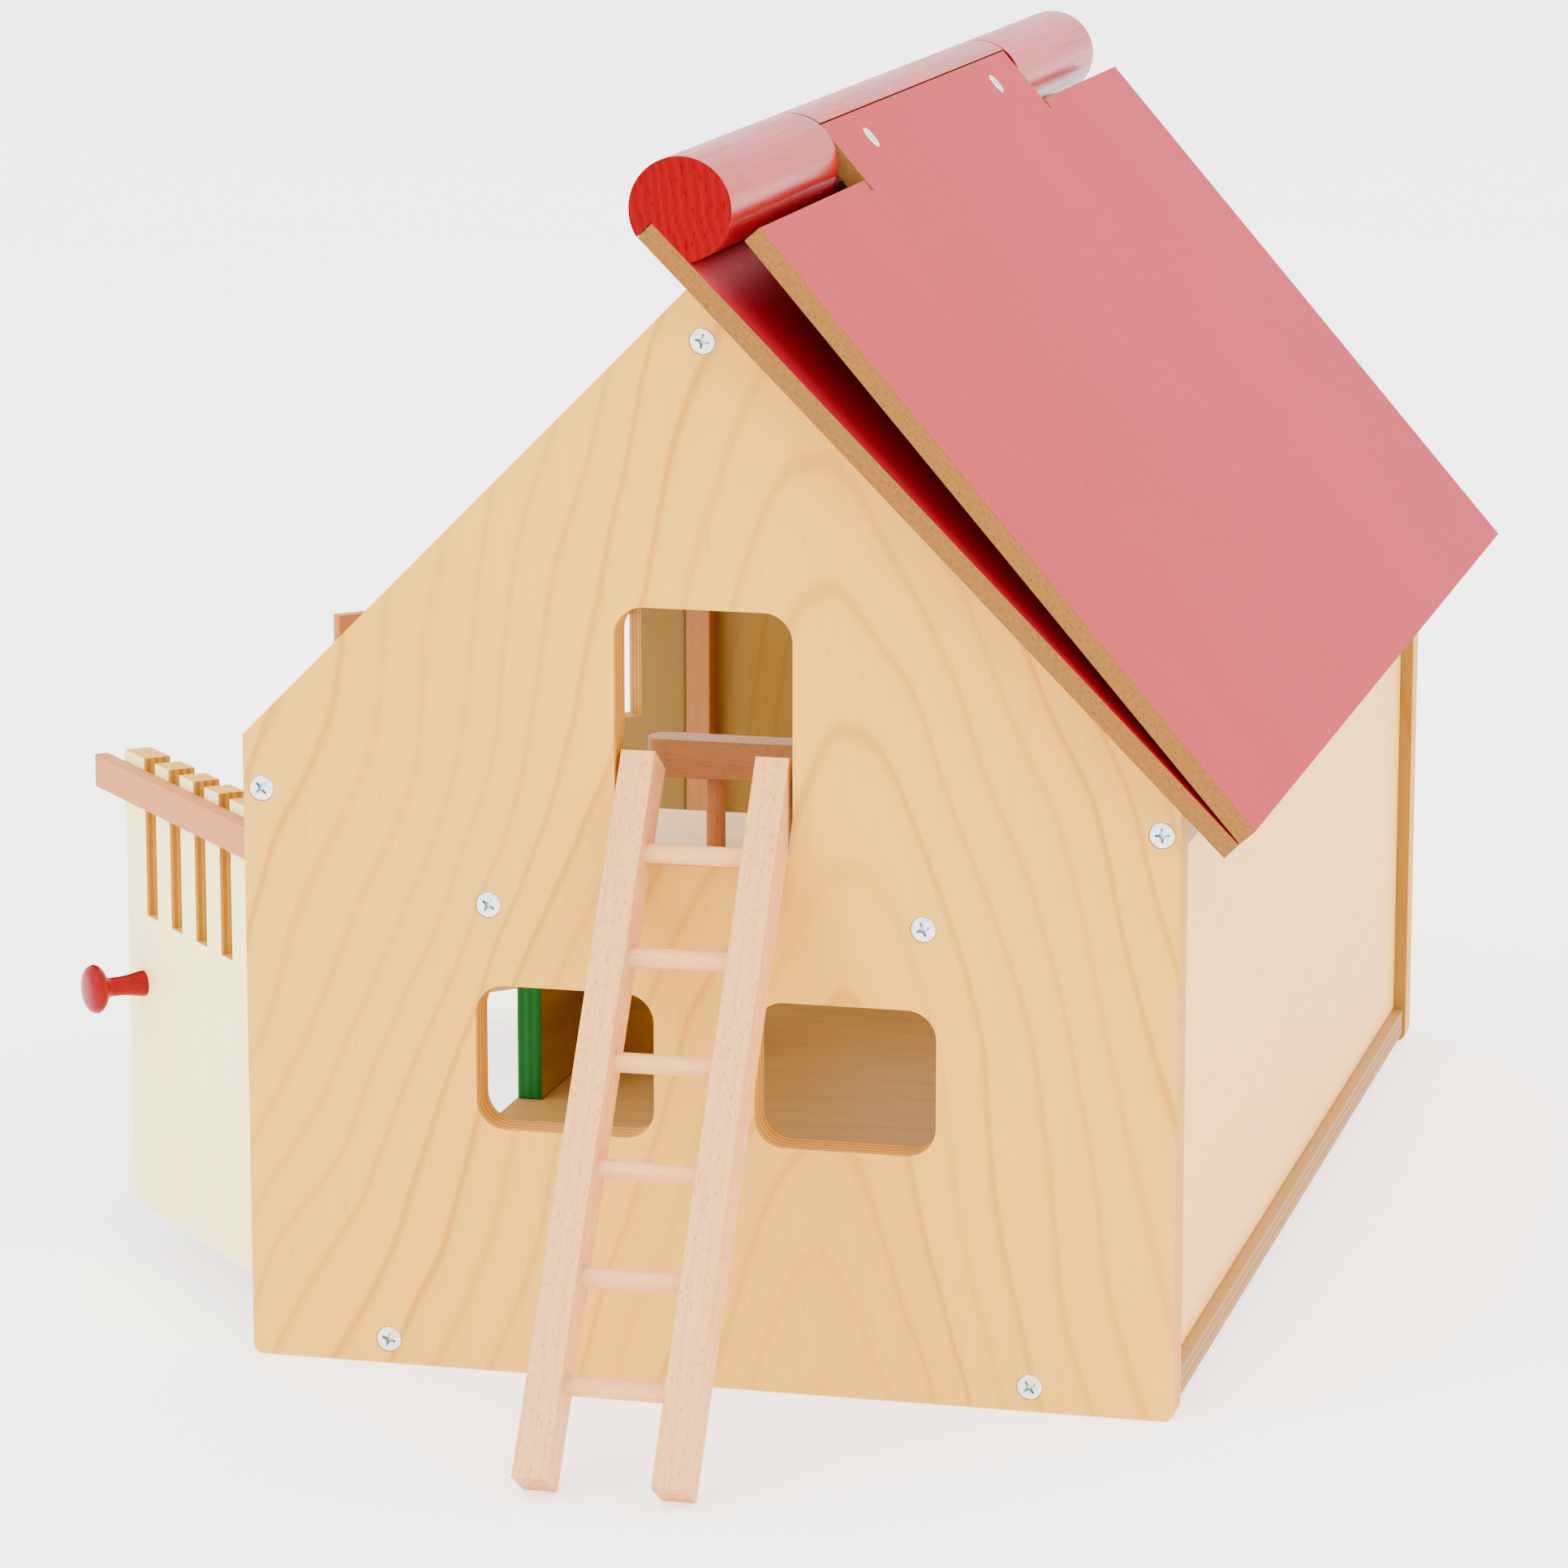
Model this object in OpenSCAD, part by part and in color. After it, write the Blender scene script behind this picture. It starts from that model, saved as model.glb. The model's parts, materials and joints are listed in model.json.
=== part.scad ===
// Toy hen house: two plywood gables on a base board, a fixed roof board, a
// hinged roof lid on a three-part ridge log, two slatted door leaves and a ladder.
// X runs across the house, Y along the ridge, Z up. The origin is the middle of the
// near gable's foot, on the ground.

/* [House] */
// Width of each gable
house_w = 290; // [230:1:360]
// Length of the house over both gables
house_l = 488; // [440:1:640]
// Height of the eave corners above the ground
eave_h = 196; // [188:1:240]
// Thickness of the gables
gable_t = 12; // [9:0.5:15]
// Radius of the rounded lower corners of the gables
corner_r = 3; // [1:0.5:6]
// Thickness of the base, loft, wall and nest boards
board_t = 9; // [6:0.5:12]
// Height of the underside of the base board above the ground
base_lift = 3; // [1:0.5:8]
// Setback of the base board behind the gable edge, open side
base_front_set = 4.5; // [2:0.5:8]
// Setback of the base board behind the gable edge, wall side
base_back_set = 1; // [0:0.5:3]
// Setback of the back wall behind the edge of the base board
wall_set = 3.5; // [1:0.5:6]

/* [Windows] */
// Width of the upper window
top_win_w = 55; // [45:1:70]
// Height of the upper window
top_win_h = 78; // [60:1:90]
// Height of the upper window's sill above the ground
top_win_sill = 162.6; // [158:0.2:170]
// Width of each lower window
low_win_w = 56; // [40:1:64]
// Height of each lower window
low_win_h = 45; // [30:1:52]
// Height of the lower windows' sills above the ground
low_win_sill = 77; // [60:1:84]
// Distance of the lower windows' centres from the middle
low_win_off = 43.7; // [36:0.1:60]
// Corner radius of the windows
win_r = 9; // [4:0.5:14]

/* [Rails and loft] */
// Width of the two eave rails
rail_w = 12.5; // [11:0.5:16]
// Height of the underside of the eave rails
rail_z = 173.5; // [171:0.5:178]
// Height of the open side's eave rail
front_rail_h = 13.5; // [12:0.5:16]
// Width of the ridge batten
batten_w = 20; // [16:1:24]
// Height of the ridge batten
batten_h = 16; // [12:1:20]
// Drop of the ridge batten's top below the apex
batten_drop = 12; // [12:0.5:18]
// Height of the loft floor's top
loft_top = 151.5; // [148:0.5:156]
// Depth of the loft floor from the near gable
loft_d = 115; // [90:1:150]
// Width of the door stop battens
stop_w = 9.5; // [8:0.5:12]

/* [Perch and nest] */
// Length of the perch bar
perch_l = 72; // [60:1:120]
// Side of the perch bar
perch_s = 12; // [9:0.5:15]
// Height of the perch bar's top above the loft
perch_h = 36; // [28:1:60]
// Distance of the perch from the near gable's outer face
perch_in = 70; // [50:1:90]
// Diameter of the perch posts
post_d = 6; // [5:0.5:8]
// Distance between the perch posts
post_gap = 29; // [24:1:40]
// Start of the nest board from the near gable's outer face
nest_in = 271; // [240:1:290]
// Length of the nest board
nest_l = 71; // [50:1:74]
// Height of the nest boards
nest_h = 73; // [50:1:90]
// Depth of the nest into the house
nest_d = 63; // [50:1:90]

/* [Roof] */
// Thickness of the two roof boards
roof_t = 6; // [4:0.5:8]
// Overhang of the roof boards past the gables
roof_over = 24; // [12:1:36]
// Overhang of the roof boards past the eaves
eave_over = 24; // [14:1:36]
// Diameter of the ridge log
log_d = 31; // [29:0.5:34]
// Distance from the ridge log's axis to the flat cut for a roof board
flat_off = 9; // [7.5:0.5:10]
// How far a roof board reaches past the ridge log's axis
board_past = 3; // [2:0.5:5]
// Length of each fixed end of the ridge log
log_end_l = 131; // [100:1:150]
// Gap between the three parts of the ridge log
log_gap = 1.5; // [1:0.25:3]
// Diameter of the steel ridge pin
pin_d = 6; // [5:0.5:7]
// How far the ridge pin enters each fixed part of the log
pin_in = 28; // [20:1:40]
// Depth of the corner cut-outs of the lid
cutout_d = 22; // [20:0.5:26]

/* [Door leaves] */
// Length of each leaf from its hinge pin to its free edge
leaf_l = 126; // [100:1:128]
// Thickness of each leaf
leaf_t = 9; // [8:0.5:10]
// Height of the underside of the leaves
leaf_z = 14.5; // [13:0.5:18]
// Height of the top of the leaves
leaf_top = 166; // [150:1:170]
// Number of slots in each leaf
slot_n = 5; // [3:1:5]
// Width of the slots
slot_w = 9; // [6:0.5:11]
// Spacing of the slots
slot_pitch = 20.6; // [18:0.2:21]
// Distance of the first slot from the free edge
slot_edge = 16.8; // [12:0.2:20]
// Depth of the slots below the top of the leaf
slot_d = 52; // [30:1:70]
// Diameter of the leaf hinge pins
leaf_pin_d = 3; // [2:0.5:3]
// Height of the handrail's section
hand_h = 11; // [8:0.5:14]
// Thickness of the handrail
hand_t = 5; // [3:0.5:7]
// Drop of the handrail's top below the top of the leaf
hand_drop = 3.5; // [1:0.5:10]
// How far the handrail reaches past the free edge
hand_past = 14.4; // [5:0.1:20]
// Opening angle of the near leaf as it stands
near_open = 42; // [0:1:90]
// Opening angle of the far leaf as it stands
far_open = 45; // [0:1:90]

/* [Knobs] */
// Diameter of the knob's head
knob_d = 16; // [12:0.5:20]
// Diameter of the knob's stem at the leaf
knob_stem_d = 8.4; // [6:0.2:10]
// Distance from the leaf to the outer end of the knob
knob_l = 20.5; // [14:0.5:26]
// Distance of the knob's axis from the free edge
knob_edge = 12.5; // [10:0.5:16]
// Height of the knob's axis above the ground
knob_z = 90.5; // [60:0.5:106]

/* [Ladder] */
// Length of the ladder rails
ladder_l = 225; // [210:1:260]
// Width of each ladder rail
ladder_rail_w = 10.5; // [8:0.5:12]
// Depth of each ladder rail
ladder_rail_d = 14; // [10:0.5:16]
// Distance between the rails' centre lines
ladder_gap = 41.5; // [30:0.5:43]
// Lean of the ladder from upright
ladder_lean = 32.8; // [28:0.1:36]
// Number of rungs
rung_n = 6; // [4:1:7]
// Diameter of the rungs
rung_d = 6; // [5:0.5:7]
// Height of the first rung along the rail
rung_first = 30; // [20:1:34]
// Spacing of the rungs
rung_pitch = 33; // [28:0.5:36]

/* [Screws] */
// Diameter of a screw head
head_d = 8; // [7:0.5:9]
// Diameter of a screw shank
shank_d = 4; // [3:0.5:4.5]
// Length of a gable screw
screw_l = 40; // [30:1:45]
// Length of a ridge log screw
log_screw_l = 20; // [16:1:21]

/* [Fits] */
// Running clearance around a pin that turns
run_fit = 0.08; // [0.05:0.01:0.1]
// Gap between parts that rest on each other but come apart
rest_gap = 0.3; // [0.2:0.05:0.5]

/* [Hidden] */
$fn = 48;

slope = 45;
mid_x = 0;
left_x = -house_w / 2;
right_x = house_w / 2;
near_y = -gable_t / 2;
far_y = near_y + house_l;
apex_h = eave_h + right_x * tan(slope);
inner_y0 = near_y + gable_t;
inner_y1 = far_y - gable_t;
inner_l = inner_y1 - inner_y0;
base_top = base_lift + board_t;
base_x0 = left_x + base_front_set;
base_x1 = right_x - base_back_set;
perch_y = near_y + perch_in;
nest_y = near_y + nest_in;
wall_x1 = base_x1 - wall_set;
wall_x0 = wall_x1 - board_t;

seat_gap = 0.02;

// The ridge log's axis stands over the apex: the fixed board's underside lies on the
// wall-side slope, and the shut lid's underside clears the other slope by rest_gap.
board_off = flat_off + roof_t;
ridge_x = mid_x - (rest_gap - seat_gap) * sin(slope);
ridge_z = apex_h + (2 * board_off + rest_gap + seat_gap) * sin(slope);
log_r = log_d / 2;
slope_l = right_x / cos(slope);
board_end = board_off + rest_gap + slope_l + eave_over;
roof_y0 = near_y - roof_over;
roof_y1 = far_y + roof_over;
log_y1 = roof_y0 + log_end_l;
log_y2 = roof_y1 - log_end_l;
tongue_y0 = log_y1 + log_gap;
tongue_y1 = log_y2 - log_gap;
cut_edge = cutout_d - board_past;
notch_end = sqrt(pow(board_off, 2) + pow(board_past, 2)) + 5 * rest_gap;
notch_side = 2;
step_gap = 0.4;
kerf_w = 2;
kerf_l = 4;
// The open lid rests on the eave edge of the fixed board.
lid_dip = asin((2 * flat_off - rest_gap) / board_end);
log_screw_x = 7.1;
lid_screw_in = 41.5;
end_screw_in = [64, 114];
cone_h = (head_d - shank_d) / 2;

// The leaves turn about pins set in the base board and in the open side's eave rail.
leaf_x = base_x0 + 0.5 + leaf_t / 2;
leaf_end_gap = 0.5;
near_leaf_y = inner_y0 + leaf_end_gap + leaf_t / 2;
far_leaf_y = inner_y1 - leaf_end_gap - leaf_t / 2;
leaf_pin_in = 12;
pin_floor = base_lift + 1.5;
pin_roof = rail_z + front_rail_h - 3;
stop_x = leaf_x + leaf_t / 2 + rest_gap;
front_rail_x = left_x + base_back_set;
front_rail_w = leaf_x + leaf_pin_d / 2 + 3.5 - front_rail_x;
hand_from = 10.5;
knob_tenon_d = 4;
knob_tenon_l = 6;
knob_head_h = 6;

// Gable screws: across the eaves, into the loft floor, the base and the batten.
eave_screw_in = 5.7;
eave_screw_z = rail_z + 6;
loft_screw_off = 67.5;
base_screw_in = 44;
batten_screw_z = apex_h - batten_drop - batten_h / 2;
screw_spots = [
    [mid_x, batten_screw_z],
    [left_x + eave_screw_in, eave_screw_z],
    [right_x - eave_screw_in, eave_screw_z],
    [mid_x - loft_screw_off, loft_top - board_t / 2],
    [mid_x + loft_screw_off, loft_top - board_t / 2],
    [left_x + base_screw_in, base_lift + board_t / 2],
    [right_x - base_screw_in, base_lift + board_t / 2]
];
far_screw_spots = [for (s = screw_spots) if (abs(s[1] - loft_top + board_t / 2) > 1) s];
// The rails rest on the rounded lower corners of the upper window.
ladder_half = (ladder_gap + ladder_rail_w) / 2;
corner_in = max(0, ladder_half - top_win_w / 2 + win_r);
sill_rise = win_r - sqrt(pow(win_r, 2) - pow(corner_in, 2));
ladder_y = near_y - (top_win_sill + sill_rise) * tan(ladder_lean) - rest_gap / cos(ladder_lean);
rung_in = 6;

birch = [0.90, 0.78, 0.58];
inner_ply = [0.80, 0.64, 0.42];
beech = [0.87, 0.70, 0.55];
cream = [0.95, 0.91, 0.82];
red = [0.80, 0.10, 0.12];
roof_red = [0.85, 0.45, 0.47];
zinc = [0.75, 0.77, 0.78];

// Slab standing on the x-z plane, from y0 to y0 + t.
module slab_xz(y0, t) {
    translate([0, y0 + t, 0]) rotate([90, 0, 0]) linear_extrude(t) children();
}

// Rounded window cutter centred on x, standing on z, through the thickness t.
module window_cut(x, z, w, h, y0, t) {
    translate([x - w / 2, y0 - 1, z]) {
        translate([win_r, 0, 0]) cube([w - 2 * win_r, t + 2, h]);
        translate([0, 0, win_r]) cube([w, t + 2, h - 2 * win_r]);
        for (cx = [win_r, w - win_r])
            for (cz = [win_r, h - win_r])
                translate([cx, 0, cz]) rotate([-90, 0, 0]) cylinder(h = t + 2, r = win_r);
    }
}

// Countersunk wood screw pointing along +z from its head's face; grow widens it
// into the cutter of its own hole.
module screw(len, grow = 0) {
    translate([0, 0, -grow]) cylinder(h = 0.6 + grow, r = head_d / 2 + grow);
    translate([0, 0, 0.6]) cylinder(h = cone_h, r1 = head_d / 2 + grow, r2 = shank_d / 2 + grow);
    cylinder(h = len - 3 + grow, r = shank_d / 2 + grow);
    translate([0, 0, len - 3 + grow]) cylinder(h = 3, r1 = shank_d / 2 + grow, r2 = 0.5);
}

module cross_screw(len) {
    difference() {
        screw(len);
        for (a = [45, 135])
            rotate([0, 0, a]) translate([-2.3, -0.45, -1]) cube([4.6, 0.9, 2.6]);
    }
}

module at_near_screws() {
    for (s = screw_spots) translate([s[0], near_y, s[1]]) rotate([-90, 0, 0]) children();
}

module at_far_screws() {
    for (s = far_screw_spots) translate([s[0], far_y, s[1]]) rotate([90, 0, 0]) children();
}

module screw_holes() {
    at_near_screws() screw(screw_l, 0.02);
    at_far_screws() screw(screw_l, 0.02);
}

module gable_outline() {
    polygon([[left_x, 0], [right_x, 0], [right_x, eave_h], [mid_x, apex_h], [left_x, eave_h]]);
}

// Removes the square corner outside a quarter round of radius corner_r.
module corner_cut(x, side, y0) {
    translate([x, y0 - 1, 0]) difference() {
        translate([side < 0 ? -1 : -corner_r, 0, -1]) cube([corner_r + 1, gable_t + 2, corner_r + 1]);
        translate([-side * corner_r, -1, corner_r]) rotate([-90, 0, 0])
            cylinder(h = gable_t + 4, r = corner_r);
    }
}

module gable(y0) {
    difference() {
        slab_xz(y0, gable_t) gable_outline();
        corner_cut(left_x, -1, y0);
        corner_cut(right_x, 1, y0);
        window_cut(mid_x, top_win_sill, top_win_w, top_win_h, y0, gable_t);
        for (side = [-1, 1])
            window_cut(mid_x + side * low_win_off, low_win_sill, low_win_w, low_win_h, y0, gable_t);
        screw_holes();
    }
}

module near_gable() {
    color(birch) gable(near_y);
}

module far_gable() {
    color(birch) gable(inner_y1);
}

module base_board() {
    color(birch) difference() {
        translate([base_x0, inner_y0, base_lift]) cube([base_x1 - base_x0, inner_l, board_t]);
        for (y = [near_leaf_y, far_leaf_y])
            translate([leaf_x, y, pin_floor]) cylinder(h = board_t, r = leaf_pin_d / 2 + run_fit);
        screw_holes();
    }
}

module back_wall() {
    color(birch) translate([wall_x0, inner_y0, base_top])
        cube([board_t, inner_l, rail_z - base_top]);
}

module front_rail() {
    color(beech) difference() {
        translate([front_rail_x, inner_y0, rail_z]) cube([front_rail_w, inner_l, front_rail_h]);
        for (y = [near_leaf_y, far_leaf_y])
            translate([leaf_x, y, rail_z - 1])
                cylinder(h = pin_roof + rest_gap - rail_z + 1, r = leaf_pin_d / 2 + run_fit);
        screw_holes();
    }
}

// The wall-side eave rail is bevelled along its top to carry the roof board.
module back_rail() {
    x0 = base_x1 - rail_w;
    color(beech) difference() {
        slab_xz(inner_y0, inner_l) polygon([
            [x0, rail_z], [base_x1, rail_z],
            [base_x1, eave_h + right_x - base_x1], [x0, eave_h + right_x - x0]
        ]);
        screw_holes();
    }
}

module ridge_batten() {
    color(beech) difference() {
        translate([mid_x - batten_w / 2, inner_y0, apex_h - batten_drop - batten_h])
            cube([batten_w, inner_l, batten_h]);
        screw_holes();
    }
}

module loft_floor() {
    x0 = stop_x + stop_w + rest_gap;
    color(birch) difference() {
        translate([x0, inner_y0, loft_top - board_t]) cube([wall_x0 - x0, loft_d, board_t]);
        screw_holes();
        for (x = [-1, 1])
            translate([mid_x + x * post_gap / 2, perch_y, loft_top - 4])
                cylinder(h = 5, r = post_d / 2);
    }
}

module perch_bar() {
    z0 = loft_top + perch_h - perch_s;
    color(beech) difference() {
        union() {
            translate([mid_x - perch_l / 2 + perch_s / 2, perch_y - perch_s / 2, z0])
                cube([perch_l - perch_s, perch_s, perch_s]);
            for (x = [-1, 1])
                translate([mid_x + x * (perch_l - perch_s) / 2, perch_y, z0])
                    cylinder(h = perch_s, r = perch_s / 2);
        }
        for (x = [-1, 1])
            translate([mid_x + x * post_gap / 2, perch_y, z0 - 1]) cylinder(h = 6, r = post_d / 2);
    }
}

module perch_posts() {
    color(beech) for (x = [-1, 1])
        translate([mid_x + x * post_gap / 2, perch_y, loft_top - 4])
            cylinder(h = perch_h - perch_s + 9, r = post_d / 2);
}

module nest_front() {
    color([0.10, 0.50, 0.18]) translate([leaf_x - leaf_t / 2, nest_y, base_top])
        cube([board_t, nest_l, nest_h]);
}

module nest_side() {
    x0 = leaf_x - leaf_t / 2 + board_t;
    color(inner_ply) translate([x0, nest_y + nest_l - board_t, base_top])
        cube([nest_d - board_t, board_t, nest_h]);
}

module door_stop(y0) {
    translate([stop_x, y0, base_top]) cube([stop_w, board_t, rail_z - base_top]);
}

module near_door_stop() {
    color(beech) door_stop(inner_y0);
}

module far_door_stop() {
    color(beech) door_stop(inner_y1 - board_t);
}

// Frame of the fixed roof board: origin on the ridge log's axis, x down the slope.
module on_fixed_slope() {
    translate([ridge_x, 0, ridge_z]) rotate([0, slope, 0]) children();
}

// Frame of the open lid: origin on the ridge log's axis, x down the lid.
module on_open_lid() {
    translate([ridge_x, 0, ridge_z]) rotate([0, slope + lid_dip, 0]) children();
}

module end_log_screw_spots() {
    for (d = end_screw_in)
        for (y = [roof_y0 + d, roof_y1 - d])
            translate([log_screw_x, y, -board_off]) children();
}

module fixed_roof_board() {
    color(roof_red) on_fixed_slope() difference() {
        translate([-board_past, roof_y0, -board_off])
            cube([board_end + board_past, roof_y1 - roof_y0, roof_t]);
        translate([-board_past - 1, tongue_y0 - notch_side, -board_off - 1])
            cube([board_past + notch_end + 1, tongue_y1 - tongue_y0 + 2 * notch_side, roof_t + 2]);
        end_log_screw_spots() screw(log_screw_l, 0.02);
    }
}

// Round log from y0 to y1 about the ridge axis.
module log_round(y0, y1) {
    translate([0, y0, 0]) rotate([-90, 0, 0]) cylinder(h = y1 - y0, r = log_r, $fn = 96);
}

module end_log(y0, y1, pin_y) {
    on_fixed_slope() difference() {
        log_round(y0, y1);
        translate([-board_past - step_gap, y0 - 1, -log_r - 1])
            cube([2 * log_r, y1 - y0 + 2, log_r + 1 - flat_off]);
        translate([0, pin_y, 0]) rotate([-90, 0, 0]) cylinder(h = pin_in + 1, r = pin_d / 2);
        end_log_screw_spots() screw(log_screw_l, 0.02);
    }
}

module near_ridge_log() {
    color(red) end_log(roof_y0, log_y1, log_y1 - pin_in);
}

module far_ridge_log() {
    color(red) end_log(log_y2, roof_y1, log_y2 - 1);
}

module ridge_pin() {
    color(zinc) on_fixed_slope() translate([0, log_y1 - pin_in, 0]) rotate([-90, 0, 0])
        cylinder(h = log_y2 - log_y1 + 2 * pin_in, r = pin_d / 2);
}

module ridge_log_screws() {
    color(zinc) on_fixed_slope() end_log_screw_spots() cross_screw(log_screw_l);
}

module near_gable_screws() {
    color(zinc) at_near_screws() cross_screw(screw_l);
}

module far_gable_screws() {
    color(zinc) at_far_screws() cross_screw(screw_l);
}

module lid_screw_spots() {
    for (y = [tongue_y0 + lid_screw_in, tongue_y1 - lid_screw_in])
        translate([log_screw_x, y, board_off]) rotate([180, 0, 0]) children();
}

module middle_ridge_log() {
    color(red) on_open_lid() difference() {
        log_round(tongue_y0, tongue_y1);
        translate([-board_past - step_gap, tongue_y0 - 1, flat_off])
            cube([2 * log_r, tongue_y1 - tongue_y0 + 2, log_r]);
        translate([0, tongue_y0 - 1, 0]) rotate([-90, 0, 0])
            cylinder(h = tongue_y1 - tongue_y0 + 2, r = pin_d / 2 + run_fit);
        lid_screw_spots() screw(log_screw_l, 0.02);
    }
}

// The lid's corner cut-outs clear the fixed ends of the log; a saw kerf runs on
// past each inner corner.
module roof_lid() {
    side = tongue_y0 - roof_y0;
    color(roof_red) on_open_lid() difference() {
        translate([-board_past, roof_y0, flat_off])
            cube([board_end + board_past, roof_y1 - roof_y0, roof_t]);
        for (y = [roof_y0 - 1, tongue_y1])
            translate([-board_past - 1, y, flat_off - 1])
                cube([cut_edge + board_past + 1, side + 1, roof_t + 2]);
        for (y = [tongue_y0 - kerf_w, tongue_y1])
            translate([cut_edge - 1, y, flat_off - 1]) cube([kerf_l + 1, kerf_w, roof_t + 2]);
        lid_screw_spots() screw(log_screw_l, 0.02);
    }
}

module lid_screws() {
    color(zinc) on_open_lid() lid_screw_spots() cross_screw(log_screw_l);
}

// Places a leaf drawn shut, hinge at the origin and free edge along +y.
module near_leaf_place() {
    translate([leaf_x, near_leaf_y, 0]) rotate([0, 0, near_open]) children();
}

module far_leaf_place() {
    translate([leaf_x, far_leaf_y, 0]) rotate([0, 0, -far_open]) mirror([0, 1, 0]) children();
}

module leaf() {
    difference() {
        union() {
            translate([-leaf_t / 2, 0, leaf_z]) cube([leaf_t, leaf_l, leaf_top - leaf_z]);
            translate([0, 0, leaf_z]) cylinder(h = leaf_top - leaf_z, r = leaf_t / 2);
        }
        for (i = [0 : slot_n - 1])
            translate([-leaf_t, leaf_l - slot_edge - slot_w - i * slot_pitch, leaf_top - slot_d])
                cube([2 * leaf_t, slot_w, slot_d + 1]);
        translate([0, 0, leaf_z - 1]) cylinder(h = leaf_pin_in + 1, r = leaf_pin_d / 2);
        translate([0, 0, leaf_top - leaf_pin_in]) cylinder(h = leaf_pin_in + 1, r = leaf_pin_d / 2);
        translate([-leaf_t / 2 - 1, leaf_l - knob_edge, knob_z]) rotate([0, 90, 0])
            cylinder(h = knob_tenon_l + 1, r = knob_tenon_d / 2);
    }
}

module handrail() {
    translate([-leaf_t / 2 - hand_t, hand_from, leaf_top - hand_drop - hand_h])
        cube([hand_t, leaf_l + hand_past - hand_from, hand_h]);
}

// Turned knob: tenon in the leaf, slim stem and a domed mushroom head.
module knob() {
    neck = knob_l - knob_head_h;
    r = knob_d / 2;
    translate([-leaf_t / 2, leaf_l - knob_edge, knob_z]) rotate([0, -90, 0]) {
        translate([0, 0, -knob_tenon_l]) cylinder(h = knob_tenon_l, r = knob_tenon_d / 2);
        cylinder(h = neck, r1 = knob_stem_d / 2, r2 = knob_stem_d / 2 - 0.8);
        translate([0, 0, neck - 2]) cylinder(h = 2, r1 = knob_stem_d / 2 - 0.8, r2 = r - 1);
        translate([0, 0, neck]) cylinder(h = 1.2, r1 = r - 1, r2 = r);
        translate([0, 0, neck + 1.2]) cylinder(h = 1.4, r = r);
        translate([0, 0, neck + 2.6]) cylinder(h = 2, r1 = r, r2 = r - 1.6);
        translate([0, 0, neck + 4.6]) cylinder(h = knob_head_h - 4.6, r1 = r - 1.6, r2 = r - 4.4);
    }
}

module leaf_pins() {
    translate([0, 0, pin_floor + rest_gap])
        cylinder(h = leaf_z + leaf_pin_in - pin_floor - rest_gap, r = leaf_pin_d / 2);
    translate([0, 0, leaf_top - leaf_pin_in])
        cylinder(h = pin_roof - leaf_top + leaf_pin_in, r = leaf_pin_d / 2);
}

module near_leaf() {
    color(cream) near_leaf_place() leaf();
}

module near_handrail() {
    color(beech) near_leaf_place() handrail();
}

module near_knob() {
    color(red) near_leaf_place() knob();
}

module near_leaf_pins() {
    color(zinc) near_leaf_place() leaf_pins();
}

module far_leaf() {
    color(cream) far_leaf_place() leaf();
}

module far_handrail() {
    color(beech) far_leaf_place() handrail();
}

module far_knob() {
    color(red) far_leaf_place() knob();
}

module far_leaf_pins() {
    color(zinc) far_leaf_place() leaf_pins();
}

// The ladder stands on the lower back edges of its rails and leans on the sill.
module ladder_place() {
    translate([mid_x, ladder_y, 0]) rotate([-ladder_lean, 0, 0]) children();
}

module ladder_rail(side) {
    difference() {
        translate([side * ladder_gap / 2 - ladder_rail_w / 2, -ladder_rail_d, 0])
            cube([ladder_rail_w, ladder_rail_d, ladder_l]);
        rungs();
    }
}

module rungs() {
    rung_l = ladder_gap - ladder_rail_w + 2 * rung_in;
    for (i = [0 : rung_n - 1])
        translate([-rung_l / 2, -ladder_rail_d / 2, rung_first + i * rung_pitch])
            rotate([0, 90, 0]) cylinder(h = rung_l, r = rung_d / 2);
}

module ladder_left_rail() {
    color(beech) ladder_place() ladder_rail(-1);
}

module ladder_right_rail() {
    color(beech) ladder_place() ladder_rail(1);
}

module ladder_rungs() {
    color(beech) ladder_place() rungs();
}

near_gable();
far_gable();
base_board();
back_wall();
front_rail();
back_rail();
ridge_batten();
loft_floor();
perch_bar();
perch_posts();
nest_front();
nest_side();
near_door_stop();
far_door_stop();
fixed_roof_board();
near_ridge_log();
far_ridge_log();
ridge_pin();
ridge_log_screws();
near_gable_screws();
far_gable_screws();
middle_ridge_log();
roof_lid();
lid_screws();
near_leaf();
near_handrail();
near_knob();
near_leaf_pins();
far_leaf();
far_handrail();
far_knob();
far_leaf_pins();
ladder_left_rail();
ladder_right_rail();
ladder_rungs();
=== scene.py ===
"""Toy hen house: wooden gables, a folding red roof, slatted door leaves and a ladder.

Every wooden piece is a softened copy of its CAD solid, with small rounded edges and a
procedural finish. The screws and the door knobs are turned new pieces.
"""

import json
import math

import bmesh
import bpy
from mathutils import Matrix, Vector


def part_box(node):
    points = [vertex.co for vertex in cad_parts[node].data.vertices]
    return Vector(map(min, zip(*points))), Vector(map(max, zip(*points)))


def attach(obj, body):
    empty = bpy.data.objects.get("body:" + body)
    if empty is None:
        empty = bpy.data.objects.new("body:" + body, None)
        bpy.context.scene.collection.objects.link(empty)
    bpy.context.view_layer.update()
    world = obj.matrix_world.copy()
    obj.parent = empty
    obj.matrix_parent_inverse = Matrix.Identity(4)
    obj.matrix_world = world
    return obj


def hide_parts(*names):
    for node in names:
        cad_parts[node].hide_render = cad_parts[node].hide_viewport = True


bl_info = {
    "name": "Toy Hen House",
    "version": (1, 0, 0),
    "blender": (4, 5, 0),
    "location": "View3D > Sidebar > Hen House",
    "description": "Dresses the toy hen house in wood, paint and zinc",
    "category": "Object",
}

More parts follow.
